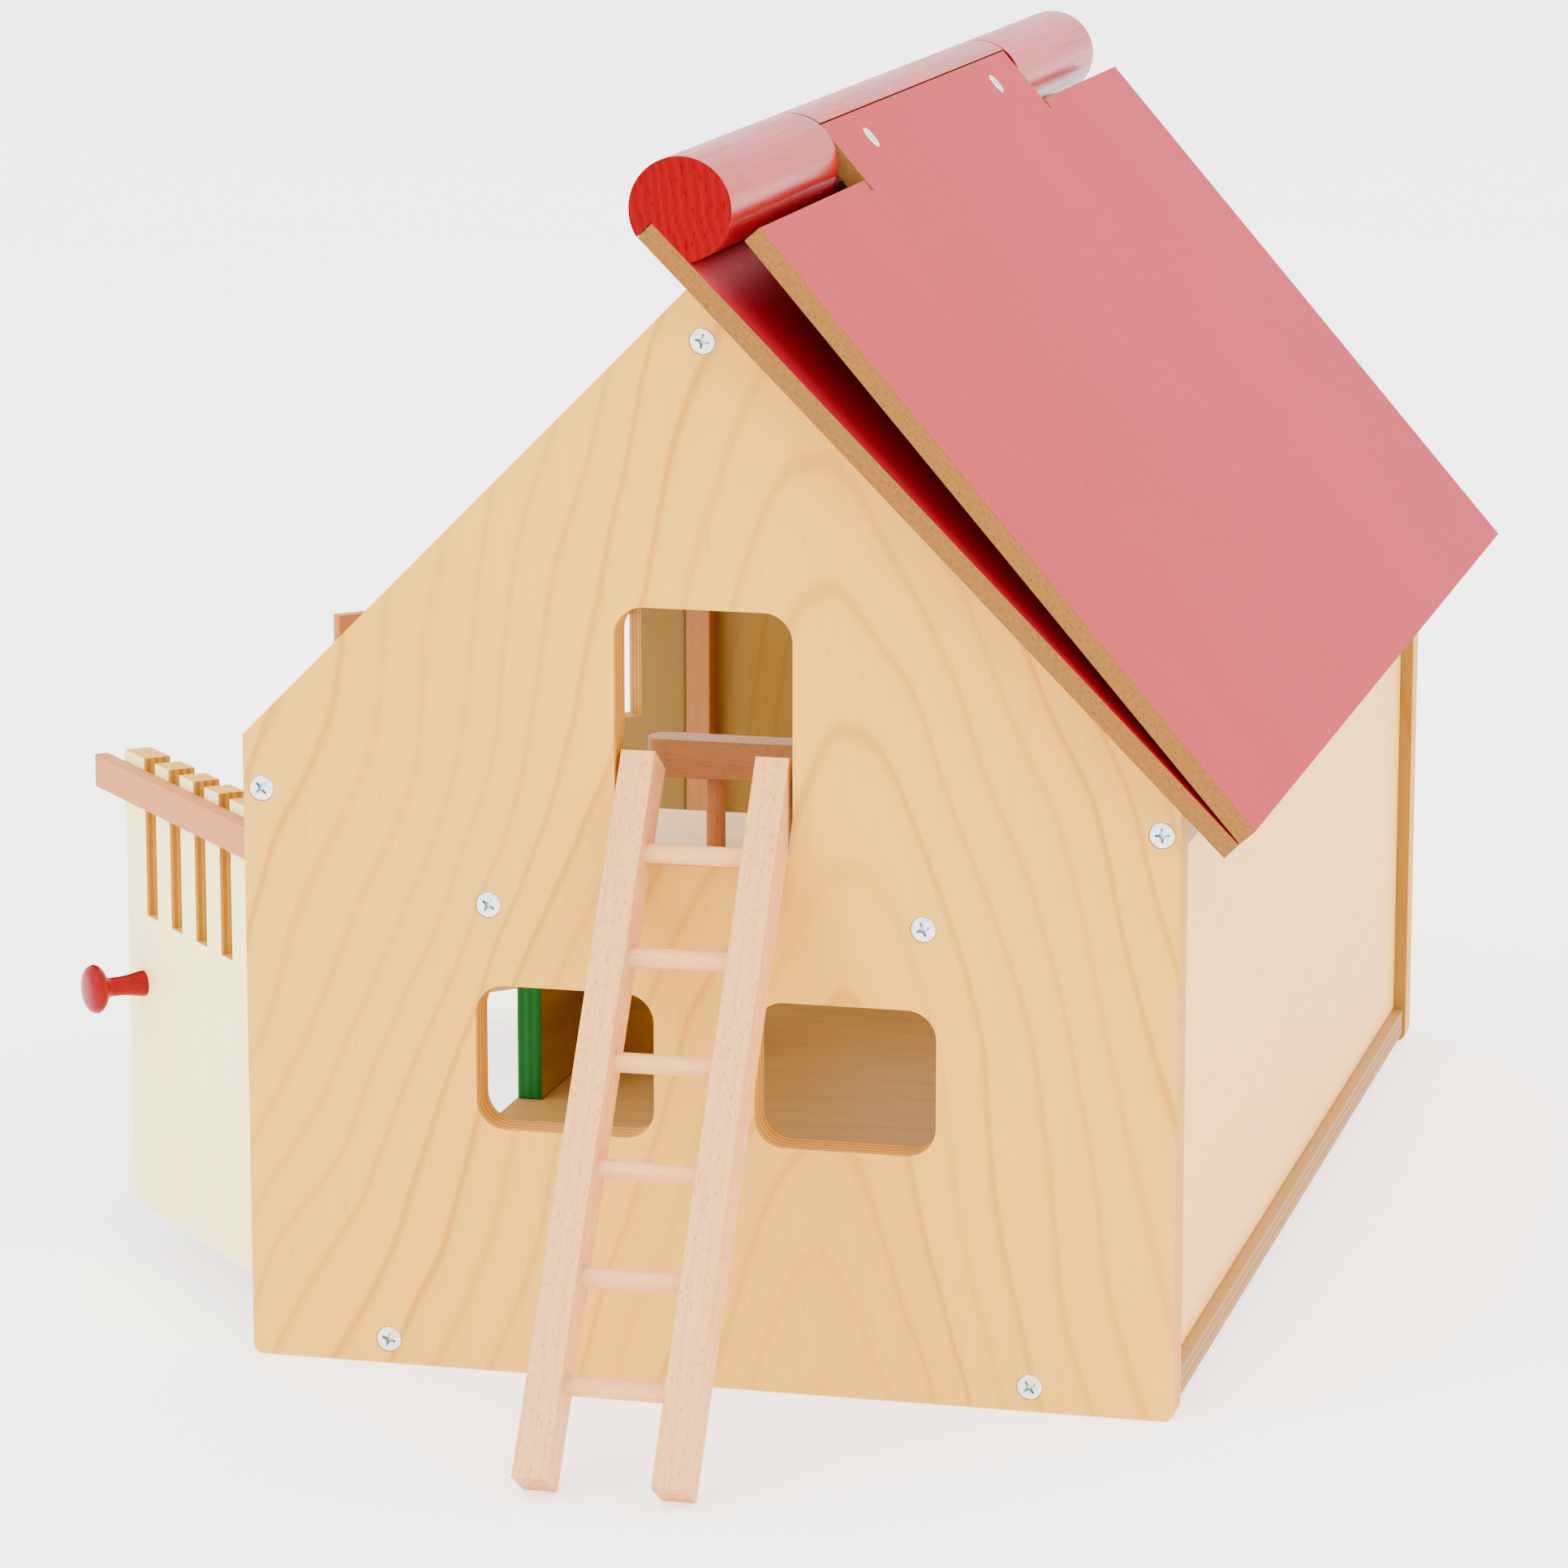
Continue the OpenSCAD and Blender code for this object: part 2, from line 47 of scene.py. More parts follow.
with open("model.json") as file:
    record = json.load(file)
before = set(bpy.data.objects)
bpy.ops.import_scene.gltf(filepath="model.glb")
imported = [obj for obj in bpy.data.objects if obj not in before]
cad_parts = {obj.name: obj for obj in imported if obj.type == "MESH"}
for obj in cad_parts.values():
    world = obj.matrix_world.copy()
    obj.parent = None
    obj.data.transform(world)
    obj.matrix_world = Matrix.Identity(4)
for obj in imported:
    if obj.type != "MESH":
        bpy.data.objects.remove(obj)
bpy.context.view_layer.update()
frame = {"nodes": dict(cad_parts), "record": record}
NODES = frame["nodes"]
BODIES = frame["record"]["behaviour"]["bodies"]
BODY_OF = {node: body for body, nodes in BODIES.items() for node in nodes}
MM = 0.001

# Sizes of the pieces, in metres and degrees.
WELD = 2e-6
PLY = 0.0015
ROOF_SLOPE = 45.0
BOARD_ROUND = 0.00035
LOG_ROUND = 0.0009
DOWEL_ROUND = 0.0002
PIN_ROUND = 0.0003
SCREW_LONG = 0.040
SCREW_SHORT = 0.020
RECESS_TURN = 37

# The stage: floor, light and camera.
FLOOR_HALF = 30.0
FLOOR_DROP = 0.0002
SKY_COLOUR = (1.0, 0.99, 0.975, 1)
SKY_STRENGTH = 3.1
FILL_SHARE = 0.55
ROOF_SHARE = 0.40
SENSOR = 36.0
CAMERA_AT = (452.9, -1712.7, 559.5)
CAMERA_PAN = 14.079
CAMERA_TILT = 11.885


# ---------------------------------------------------------------- settings


class HenHouseWood(bpy.types.PropertyGroup):
    """Colours and grain of the bare wood."""

    gable_light: bpy.props.FloatVectorProperty(
        name="Gable early wood",
        description="Pale wood between the growth lines of the gables",
        subtype="COLOR", size=3, min=0, max=1, default=(0.70, 0.370, 0.034))
    gable_dark: bpy.props.FloatVectorProperty(
        name="Gable late wood",
        description="Darker growth lines of the gables",
        subtype="COLOR", size=3, min=0, max=1, default=(0.50, 0.220, 0.012))
    wall_light: bpy.props.FloatVectorProperty(
        name="Wall veneer",
        description="Pale veneer of the closed wall and the loft",
        subtype="COLOR", size=3, min=0, max=1, default=(0.86, 0.465, 0.085))
    wall_dark: bpy.props.FloatVectorProperty(
        name="Wall figure",
        description="Soft figure in the veneer of the closed wall",
        subtype="COLOR", size=3, min=0, max=1, default=(0.76, 0.355, 0.055))
    beech_light: bpy.props.FloatVectorProperty(
        name="Beech",
        description="Light part of the sanded beech",
        subtype="COLOR", size=3, min=0, max=1, default=(0.77, 0.39, 0.14))
    beech_dark: bpy.props.FloatVectorProperty(
        name="Beech flecks",
        description="Dark part and flecks of the sanded beech",
        subtype="COLOR", size=3, min=0, max=1, default=(0.48, 0.20, 0.06))
    leaf_light: bpy.props.FloatVectorProperty(
        name="Door leaf face",
        description="Cream face of the door leaves",
        subtype="COLOR", size=3, min=0, max=1, default=(0.98, 0.90, 0.40))
    growth_width: bpy.props.FloatProperty(
        name="Growth line spacing",
        description="Distance between the growth lines of the gables",
        default=0.0125, min=0.004, max=0.04, unit="LENGTH")
    edge_round: bpy.props.FloatProperty(
        name="Edge rounding",
        description="Width of the sanded rounding along the wooden edges",
        default=0.0006, min=0.0001, max=0.002, unit="LENGTH")


class HenHousePaint(bpy.types.PropertyGroup):
    """Colours of the painted and metal pieces."""

    red: bpy.props.FloatVectorProperty(
        name="Red paint",
        description="Gloss red of the ridge log and the knobs",
        subtype="COLOR", size=3, min=0, max=1, default=(0.34, 0.002, 0.005))
    red_board: bpy.props.FloatVectorProperty(
        name="Roof paint",
        description="Satin red on the faces of the roof boards",
        subtype="COLOR", size=3, min=0, max=1, default=(0.33, 0.004, 0.014))
    board_edge: bpy.props.FloatVectorProperty(
        name="Bare board edge",
        description="Bare sawn edges of the roof boards",
        subtype="COLOR", size=3, min=0, max=1, default=(0.20, 0.085, 0.018))
    green: bpy.props.FloatVectorProperty(
        name="Green paint",
        description="Green on the edge of the nest board",
        subtype="COLOR", size=3, min=0, max=1, default=(0.001, 0.10, 0.006))
    zinc: bpy.props.FloatVectorProperty(
        name="Zinc",
        description="Zinc plating of the screws",
        subtype="COLOR", size=3, min=0, max=1, default=(0.66, 0.69, 0.71))
    sheen_rough: bpy.props.FloatProperty(
        name="Roof roughness",
        description="Roughness of the roof boards' satin paint",
        default=0.46, min=0.05, max=1.0, subtype="FACTOR")


class HenHouseStage(bpy.types.PropertyGroup):
    """Floor, light and camera."""

    floor_tone: bpy.props.FloatProperty(
        name="Floor tone",
        description="Grey value of the plain floor",
        default=1.0, min=0.1, max=1.0, subtype="FACTOR")
    floor_glow: bpy.props.FloatProperty(
        name="Floor glow",
        description="Light that the pale floor gives off itself, as a lit table does",
        default=1.2, min=0.0, max=4.0)
    key_power: bpy.props.FloatProperty(
        name="Key light",
        description="Power of the large soft light in watts",
        default=40.0, min=0.0, max=500.0, unit="POWER")
    lens: bpy.props.FloatProperty(
        name="Focal length",
        description="Focal length of the camera on a 36 mm sensor, in millimetres",
        default=138.66, min=20.0, max=400.0)


# ---------------------------------------------------------------- node helpers


class Finish:
    """One procedural material and the shader nodes that make it."""

    def __init__(self, name):
        self.mat = bpy.data.materials.new(name)
        self.mat.use_nodes = True
        self.tree = self.mat.node_tree
        self.tree.nodes.clear()
        out = self.tree.nodes.new("ShaderNodeOutputMaterial")
        self.shader = self.tree.nodes.new("ShaderNodeBsdfPrincipled")
        self.tree.links.new(self.shader.outputs[0], out.inputs[0])
        self.coord = self.tree.nodes.new("ShaderNodeTexCoord")
        self.here = self.coord.outputs["Object"]
        self.facing = self.coord.outputs["Normal"]

    def put(self, socket, value):
        if isinstance(value, bpy.types.NodeSocket):
            self.tree.links.new(value, socket)
        elif hasattr(socket.default_value, "__len__") and len(socket.default_value) == 4:
            socket.default_value = (*tuple(value)[:3], 1.0)
        else:
            socket.default_value = value

    def set(self, **sockets):
        for name, value in sockets.items():
            self.put(self.shader.inputs[name.replace("_", " ")], value)
        return self

    def math(self, op, a, b=0.0, c=0.0, clamp=False):
        n = self.tree.nodes.new("ShaderNodeMath")
        n.operation = op
        n.use_clamp = clamp
        for i, v in enumerate((a, b, c)):
            self.put(n.inputs[i], v)
        return n.outputs[0]

    def times(self, a, b):
        return self.math("MULTIPLY", a, b)

    def plus(self, a, b):
        return self.math("ADD", a, b)

    def flip(self, a):
        """1 where the value is 0, and 0 where it is 1."""
        return self.math("SUBTRACT", 1.0, a)

    def swing(self, a, reach):
        """Turns a value of 0 to 1 into one of minus half to plus half of reach."""
        return self.times(self.math("SUBTRACT", a, 0.5), reach)

    def size(self, a):
        return self.math("ABSOLUTE", a)

    def move(self, vector, scale=(1, 1, 1), turn=(0, 0, 0), shift=(0, 0, 0)):
        n = self.tree.nodes.new("ShaderNodeMapping")
        n.inputs["Scale"].default_value = scale
        n.inputs["Rotation"].default_value = [math.radians(v) for v in turn]
        n.inputs["Location"].default_value = shift
        self.put(n.inputs["Vector"], vector)
        return n.outputs[0]

    def parts(self, vector):
        n = self.tree.nodes.new("ShaderNodeSeparateXYZ")
        self.put(n.inputs[0], vector)
        return n.outputs[0], n.outputs[1], n.outputs[2]

    def join(self, x, y, z):
        n = self.tree.nodes.new("ShaderNodeCombineXYZ")
        for i, v in enumerate((x, y, z)):
            self.put(n.inputs[i], v)
        return n.outputs[0]

    def noise(self, vector, scale, detail=3.0, rough=0.5, warp=0.0):
        n = self.tree.nodes.new("ShaderNodeTexNoise")
        self.put(n.inputs["Vector"], vector)
        n.inputs["Scale"].default_value = scale
        n.inputs["Detail"].default_value = detail
        n.inputs["Roughness"].default_value = rough
        n.inputs["Distortion"].default_value = warp
        return n.outputs["Fac"]

    def streaks(self, first, second, third, detail=3.0, rough=0.5):
        """Stretched noise; each axis is a value, or a value with the scale along it."""
        at = [self.times(*axis) if isinstance(axis, tuple) else axis for axis in (first, second, third)]
        return self.noise(self.join(*at), 1.0, detail, rough)

    def ramp(self, value, stops, ease="EASE"):
        n = self.tree.nodes.new("ShaderNodeValToRGB")
        n.color_ramp.interpolation = ease
        ends = n.color_ramp.elements
        while len(ends) < len(stops):
            ends.new(0.5)
        for e, (at, tone) in zip(ends, stops):
            e.position = at
            e.color = (tone, tone, tone, 1) if isinstance(tone, (int, float)) else (*tuple(tone)[:3], 1)
        self.put(n.inputs[0], value)
        return n.outputs[0]

    def span(self, value, lo, hi, to_lo=0.0, to_hi=1.0, kind="SMOOTHSTEP"):
        n = self.tree.nodes.new("ShaderNodeMapRange")
        n.interpolation_type = kind
        self.put(n.inputs["Value"], value)
        for key, v in (("From Min", lo), ("From Max", hi), ("To Min", to_lo), ("To Max", to_hi)):
            self.put(n.inputs[key], v)
        return n.outputs[0]

    def mix(self, fac, a, b, how="MIX"):
        n = self.tree.nodes.new("ShaderNodeMix")
        n.data_type = "RGBA"
        n.blend_type = how
        self.put(n.inputs[0], fac)
        self.put(n.inputs[6], a)
        self.put(n.inputs[7], b)
        return n.outputs[2]

    def bump(self, height, depth, strength=1.0):
        n = self.tree.nodes.new("ShaderNodeBump")
        n.inputs["Strength"].default_value = strength
        n.inputs["Distance"].default_value = depth
        self.put(n.inputs["Height"], height)
        self.put(self.shader.inputs["Normal"], n.outputs[0])
        return self

    def worn(self):
        """1 on the rounded edges of a softened piece, 0 on its flats."""
        n = self.tree.nodes.new("ShaderNodeAttribute")
        n.attribute_type = "GEOMETRY"
        n.attribute_name = "sanded"
        return n.outputs["Fac"]


def tint(colour, by):
    """The colour times one factor, or times one factor for each channel."""
    factors = by if hasattr(by, "__len__") else (by,) * 3
    return tuple(min(1.0, max(0.0, c * b)) for c, b in zip(colour, factors))


# ---------------------------------------------------------------- finishes


def figured_ply(name, light, dark, spacing, across, along, heart, cone, seed, contrast=1.0,
                edge_axis="y", rough=0.42, inner=None):
    """Rotary-cut birch ply: arched growth lines on the faces, thin plies on the sawn edges.

    across and along name the object axes over and along the grain. heart is where the arches
    centre on the across axis, and cone is how fast they close. inner is a painted shade: it
    darkens the face that looks against edge_axis."""
    f = Finish(name)
    x, y, z = f.parts(f.here)
    axis = {"x": x, "y": y, "z": z}
    u, v = axis[across], axis[along]
    wander = f.streaks((u, 6.0), (v, 3.4), seed, 2.0, 0.45)
    waver = f.streaks((u, 26.0), (v, 9.0), seed + 3, 2.0, 0.5)
    off = f.math("SUBTRACT", u, heart)
    off = f.plus(off, f.swing(wander, 0.085))
    lean = f.times(off, off)
    reach = f.math("SQRT", f.plus(lean, 0.0006))
    field = f.plus(reach, f.times(v, cone))
    field = f.plus(field, f.swing(waver, 0.010))
    ring = f.math("FRACT", f.math("DIVIDE", field, spacing))
    number = f.math("FLOOR", f.math("DIVIDE", field, spacing))
    strength = f.streaks((number, 3.71), seed, 0.5, 0.0)
    strength = f.span(strength, 0.35, 0.65, 0.35, 1.0)
    late = f.ramp(ring, [(0.0, 0.60), (0.05, 0.12), (0.30, 0.02), (0.76, 0.14), (0.94, 0.95), (1.0, 0.60)])
    late = f.times(late, strength)
    patch = f.streaks((u, 9.0), (v, 4.0), seed + 7, 3.0, 0.6)
    fibre = f.streaks((u, 900.0), (v, 26.0), seed, 3.0, 0.65)
    fleck = f.streaks((u, 420.0), (v, 90.0), seed + 11, 1.0)
    fleck = f.span(fleck, 0.70, 0.80)
    face = f.mix(f.times(late, contrast), light, dark)
    face = f.mix(f.span(patch, 0.25, 0.75, 0.0, 0.30), face, tint(light, (0.93, 0.86, 0.76)))
    face = f.mix(f.span(fibre, 0.35, 0.80, 0.0, 0.16), face, tint(dark, 0.95))
    face = f.mix(f.times(fleck, 0.16), face, tint(dark, 0.70))
    # Sawn edges: alternating plies across the thickness.
    deep = axis[edge_axis]
    step = f.math("DIVIDE", deep, PLY)
    rough_cut = f.noise(f.move(f.here, (700, 700, 700)), 1.0, 2.0, 0.7)
    blade = f.noise(f.here, 240.0, 2.0, 0.5)
    step = f.plus(step, f.swing(blade, 0.22))
    layer = f.math("PINGPONG", step, 1.0)
    layer = f.span(layer, 0.40, 0.60)
    side = f.mix(layer, tint(dark, (0.92, 0.86, 0.78)), tint(light, (0.93, 0.86, 0.76)))
    side = f.mix(f.span(rough_cut, 0.45, 0.85, 0.0, 0.40), side, tint(dark, 0.62))
    nx, ny, nz = f.parts(f.facing)
    out = {"x": nx, "y": ny, "z": nz}[edge_axis]
    flat = f.span(f.size(out), 0.72, 0.90)
    # Painted shade: the inner tint darkens the face turned against edge_axis, standing in for the shaded
    # inside of the house.
    if inner:
        painted_shade_side = f.span(f.times(out, -1.0), 0.5, 0.9)
        face = f.mix(painted_shade_side, face, f.mix(1.0, face, inner, "MULTIPLY"))
    skin = f.mix(flat, side, face)
    skin = f.mix(f.times(f.worn(), 0.30), skin, tint(dark, (0.88, 0.80, 0.70)))
    f.set(Base_Color=skin, Specular_IOR_Level=0.16)
    shine = f.span(fibre, 0.2, 0.8, rough - 0.05, rough + 0.10, "LINEAR")
    f.set(Roughness=f.plus(shine, f.times(f.flip(flat), 0.22)))
    f.set(Coat_Weight=0.03, Coat_Roughness=0.30)
    height = f.plus(f.times(fibre, 0.5), f.times(late, 0.35))
    height = f.plus(height, f.times(f.flip(flat), f.times(rough_cut, 1.6)))
    return f.bump(height, 0.00006, 0.55).mat


def plain_wood(name, light, dark, grain, seed, turn=(0, 0, 0), fleck=0.32, rough=0.50, line=0.0042):
    """Solid beech with its short dark ray flecks; the grain runs along the named axis of the
    space that turn gives."""
    f = Finish(name)
    at = f.move(f.here, (1, 1, 1), turn)
    x, y, z = f.parts(at)
    g = {"x": (x, y, z), "y": (y, z, x), "z": (z, x, y)}[grain]
    run, a, b = g
    bend = f.streaks((a, 20.0), (b, 20.0), (run, 7.0), 2.0, 0.5)
    skew = f.plus(a, f.times(b, 0.63))
    field = f.plus(skew, f.swing(bend, 0.014))
    ring = f.math("FRACT", f.plus(f.math("DIVIDE", field, line), seed))
    late = f.ramp(ring, [(0.0, 0.35), (0.15, 0.08), (0.70, 0.22), (0.94, 0.70), (1.0, 0.35)])
    fibre = f.streaks((a, 1500.0), (b, 1500.0), (run, 50.0), 3.0, 0.7)
    rays = f.streaks((a, 1900.0), (b, 1900.0), (run, 430.0), 0.0)
    rays = f.span(rays, 0.64, 0.76)
    tone = f.streaks((a, 45.0), (b, 45.0), (run, 9.0), 3.0, 0.6)
    skin = f.mix(f.times(late, 0.38), light, dark)
    skin = f.mix(f.span(tone, 0.3, 0.75, 0.0, 0.42), skin, tint(light, (0.90, 0.82, 0.74)))
    skin = f.mix(f.span(fibre, 0.40, 0.80, 0.0, 0.30), skin, tint(dark, 0.90))
    skin = f.mix(f.times(rays, fleck), skin, tint(dark, 0.72))
    nx, ny, nz = f.parts(f.move(f.facing, (1, 1, 1), turn))
    end = f.span(f.size({"x": nx, "y": ny, "z": nz}[grain]), 0.75, 0.92)
    pores = f.noise(f.move(f.here, (900, 900, 900)), 1.0, 1.0, 0.6)
    cut = f.mix(f.span(pores, 0.35, 0.75), tint(light, (0.84, 0.74, 0.62)), tint(dark, 0.78))
    skin = f.mix(end, skin, cut)
    skin = f.mix(f.times(f.worn(), 0.22), skin, tint(dark, 0.82))
    f.set(Base_Color=skin, Specular_IOR_Level=0.16)
    f.set(Roughness=f.span(fibre, 0.2, 0.85, rough - 0.06, rough + 0.12, "LINEAR"))
    height = f.math("SUBTRACT", f.times(fibre, 0.7), f.times(rays, 0.8))
    return f.bump(height, 0.00007, 0.6).mat


def roof_board_finish(name, paint, slope):
    """Satin red film on both faces of a fibreboard; its sawn edges are bare and fibrous.

    slope is the turn about Y that lays the board's face flat on X and Y."""
    f = Finish(name)
    at = f.move(f.here, (1, 1, 1), (0, slope, 0))
    up = f.parts(f.move(f.facing, (1, 1, 1), (0, slope, 0)))[2]
    flat = f.span(f.size(up), 0.80, 0.93)
    cloud = f.noise(at, 9.0, 3.0, 0.55)
    peel = f.noise(at, 620.0, 2.0, 0.5)
    specks = f.span(f.noise(at, 300.0, 1.0, 0.5, 0.3), 0.735, 0.77)
    scuff = f.noise(f.move(at, (30, 800, 1), (0, 0, 24)), 1.0, 2.0, 0.5)
    scuff = f.times(f.span(scuff, 0.70, 0.76), f.span(f.noise(at, 26.0, 2.0, 0.5), 0.60, 0.72))
    film = f.mix(f.span(cloud, 0.3, 0.7), tint(paint.red_board, 0.96),
                 tint(paint.red_board, (1.04, 1.25, 1.25)))
    film = f.mix(f.times(specks, 0.30), film, tint(paint.red_board, 0.6))
    fibres = f.noise(f.move(at, (500, 500, 1600)), 1.0, 3.0, 0.7)
    fuzz = f.noise(at, 1400.0, 2.0, 0.6)
    bare = f.mix(f.span(fibres, 0.30, 0.75), tint(paint.board_edge, (1.18, 1.20, 1.25)),
                 tint(paint.board_edge, 0.74))
    bare = f.mix(f.span(fuzz, 0.55, 0.80, 0.0, 0.55), bare, tint(paint.board_edge, 0.50))
    skin = f.mix(flat, bare, film)
    rim = f.times(f.worn(), f.span(f.noise(at, 150.0, 2.0), 0.38, 0.60))
    skin = f.mix(f.times(rim, 0.75), skin, tint(paint.board_edge, 0.92))
    f.set(Base_Color=skin)
    sheen = paint.sheen_rough
    film_rough = f.plus(f.span(peel, 0.25, 0.75, sheen - 0.02, sheen + 0.05, "LINEAR"), f.times(scuff, -0.10))
    f.set(Roughness=f.math("ADD", film_rough, f.times(f.flip(flat), 0.45), clamp=True))
    f.set(Specular_IOR_Level=0.06)
    height = f.plus(f.times(peel, 0.35),
                    f.times(f.flip(flat), f.times(fuzz, 2.6)))
    return f.bump(height, 0.00005, 0.5).mat


def gloss_red(name, paint, grain, end_grain=True):
    """Gloss red paint over turned wood; the grain telegraphs through, most on the sawn end."""
    f = Finish(name)
    x, y, z = f.parts(f.here)
    run, a, b = {"y": (y, z, x), "x": (x, y, z), "z": (z, x, y)}[grain]
    fibre = f.streaks((a, 520.0), (b, 520.0), (run, 16.0), 2.0, 0.6)
    nx, ny, nz = f.parts(f.facing)
    end = f.span(f.size({"x": nx, "y": ny, "z": nz}[grain]), 0.80, 0.95)
    warp = f.noise(f.here, 60.0, 2.0, 0.5)
    skew = f.plus(f.times(b, 1.0), f.times(a, 0.18))
    skew = f.plus(skew, f.swing(warp, 0.006))
    ring = f.math("PINGPONG", f.math("DIVIDE", skew, 0.00155), 1.0)
    ring = f.span(ring, 0.15, 0.95)
    pore = f.streaks((b, 950.0), (a, 260.0), 0.0, 1.0)
    pore = f.span(pore, 0.60, 0.72)
    cloud = f.span(f.noise(f.here, 30.0, 3.0, 0.6), 0.3, 0.7)
    coat = f.mix(cloud, tint(paint.red, 0.86), tint(paint.red, (1.10, 1.6, 1.5)))
    if end_grain:
        cut = f.mix(ring, tint(paint.red, (0.48, 0.6, 0.6)), tint(paint.red, (0.56, 0.8, 0.8)))
        cut = f.mix(f.times(pore, 0.55), cut, tint(paint.red, (0.30, 0.4, 0.4)))
        coat = f.mix(end, coat, cut)
    else:
        coat = f.mix(1.0, coat, (0.54, 0.4, 0.5), "MULTIPLY")
    coat = f.mix(f.times(f.worn(), 0.14), coat, (0.50, 0.10, 0.09))
    side = f.flip(end)
    f.set(Base_Color=coat, Coat_Roughness=0.16, Coat_IOR=1.5)
    f.set(Specular_IOR_Level=f.times(side, 0.08), Coat_Weight=f.times(side, 0.04))
    f.set(Roughness=f.plus(f.span(fibre, 0.3, 0.7, 0.24, 0.34, "LINEAR"), f.times(end, 0.16)))
    height = f.times(fibre, 0.45)
    if end_grain:
        height = f.plus(height, f.times(end, f.math("SUBTRACT", f.times(ring, 2.4), f.times(pore, 1.6))))
    return f.bump(height, 0.00008, 0.7).mat


def zinc_finish(name, paint):
    """Bright zinc with faint turning marks and a little tarnish."""
    f = Finish(name)
    cloud = f.noise(f.here, 900.0, 3.0, 0.6)
    streak = f.noise(f.move(f.here, (2600, 2600, 2600)), 1.0, 2.0, 0.6)
    dull = tint(paint.zinc, (0.84, 0.87, 0.89))
    f.set(Base_Color=f.mix(f.span(cloud, 0.3, 0.7), dull, tint(paint.zinc, 1.12)))
    f.set(Metallic=1.0, Roughness=f.span(streak, 0.2, 0.8, 0.26, 0.44, "LINEAR"))
    return f.bump(f.plus(streak, f.times(cloud, 0.6)), 0.00003, 0.35).mat


def leaf_finish(name, wood, turn):
    """Cream birch on a door leaf, with painted shade on its inner face; the sawn ply of its slots is darker,
    with a painted highlight on its upward-facing edges.
    """
    f = Finish(name)
    at = f.move(f.here, (1, 1, 1), (0, 0, turn))
    x, y, z = f.parts(at)
    nx, _, nz = f.parts(f.move(f.facing, (1, 1, 1), (0, 0, turn)))
    flat = f.span(f.size(nx), 0.75, 0.92)
    fibre = f.streaks((y, 800.0), (z, 22.0), 0.0, 3.0, 0.65)
    cloud = f.streaks((y, 34.0), (z, 7.0), 4.0, 3.0, 0.6)
    figure = f.streaks((y, 130.0), (z, 8.0), 9.0, 2.0, 0.5)
    face = f.mix(f.span(cloud, 0.3, 0.7), wood.leaf_light, tint(wood.leaf_light, (0.97, 0.93, 0.86)))
    face = f.mix(f.span(fibre, 0.40, 0.80, 0.0, 0.14), face, tint(wood.leaf_light, (0.85, 0.72, 0.56)))
    face = f.mix(f.span(figure, 0.50, 0.80, 0.0, 0.16), face, tint(wood.leaf_light, (0.88, 0.78, 0.62)))
    # Painted shade: the inner face, turned to +x, is darkened as if in the house's shade.
    face = f.mix(f.span(nx, 0.5, 0.9), face, f.mix(1.0, face, (0.46, 0.38, 0.29), "MULTIPLY"))
    layer = f.math("PINGPONG", f.math("DIVIDE", x, 0.0013), 1.0)
    layer = f.span(layer, 0.35, 0.65)
    fuzz = f.noise(at, 900.0, 2.0, 0.7)
    side = f.mix(layer, tint(wood.gable_dark, (0.80, 0.74, 0.62)), tint(wood.gable_light, (0.86, 0.78, 0.66)))
    side = f.mix(f.span(fuzz, 0.45, 0.80, 0.0, 0.45), side, tint(wood.gable_dark, 0.5))
    # Painted highlight: the upward-facing sawn edges are lightened as if lit from above.
    top = f.span(nz, 0.6, 0.9)
    side = f.mix(f.times(top, 0.75), side, tint(wood.gable_light, (1.02, 1.0, 0.95)))
    skin = f.mix(flat, side, face)
    skin = f.mix(f.times(f.worn(), 0.28), skin, tint(wood.gable_dark, 0.95))
    f.set(Base_Color=skin, Specular_IOR_Level=0.20, Coat_Weight=0.05, Coat_Roughness=0.30)
    f.set(Roughness=f.plus(f.span(fibre, 0.2, 0.8, 0.38, 0.50, "LINEAR"), f.times(f.flip(flat), 0.25)))
    height = f.plus(f.times(fibre, 0.5), f.times(f.flip(flat), f.times(fuzz, 1.6)))
    return f.bump(height, 0.00005, 0.5).mat


def nest_finish(name, wood, paint):
    """Bare ply on the nest board's faces, darkened as painted shade, and green paint on its sawn edges."""
    f = Finish(name)
    x, y, z = f.parts(f.here)
    flat = f.span(f.size(f.parts(f.facing)[0]), 0.75, 0.92)
    fibre = f.streaks((z, 700.0), (y, 24.0), 2.0, 3.0, 0.65)
    cloud = f.streaks((z, 60.0), (y, 9.0), 5.0, 3.0, 0.6)
    # Painted shade: the faces are a darkened ply colour, standing in for the shade inside the house.
    face = f.mix(f.span(cloud, 0.3, 0.7), tint(wood.gable_light, (0.43, 0.58, 1.2)),
                 tint(wood.gable_dark, (0.44, 0.60, 1.5)))
    face = f.mix(f.span(fibre, 0.4, 0.8, 0.0, 0.3), face, tint(wood.gable_dark, (0.34, 0.38, 0.7)))
    layer = f.span(f.math("PINGPONG", f.math("DIVIDE", x, PLY), 1.0), 0.35, 0.65)
    runs = f.noise(f.move(f.here, (900, 900, 60)), 1.0, 2.0, 0.6)
    side = f.mix(layer, tint(paint.green, 0.72), tint(paint.green, (1.3, 1.12, 1.3)))
    side = f.mix(f.span(runs, 0.5, 0.8, 0.0, 0.5), side, tint(paint.green, 0.5))
    skin = f.mix(flat, side, face)
    f.set(Base_Color=f.mix(f.times(f.worn(), 0.25), skin, tint(paint.green, (3.0, 1.6, 2.2))))
    f.set(Specular_IOR_Level=0.15, Roughness=f.span(runs, 0.2, 0.8, 0.36, 0.52, "LINEAR"))
    return f.bump(f.plus(f.times(runs, 0.8), f.times(layer, 0.5)), 0.00006, 0.6).mat


# ---------------------------------------------------------------- modelling


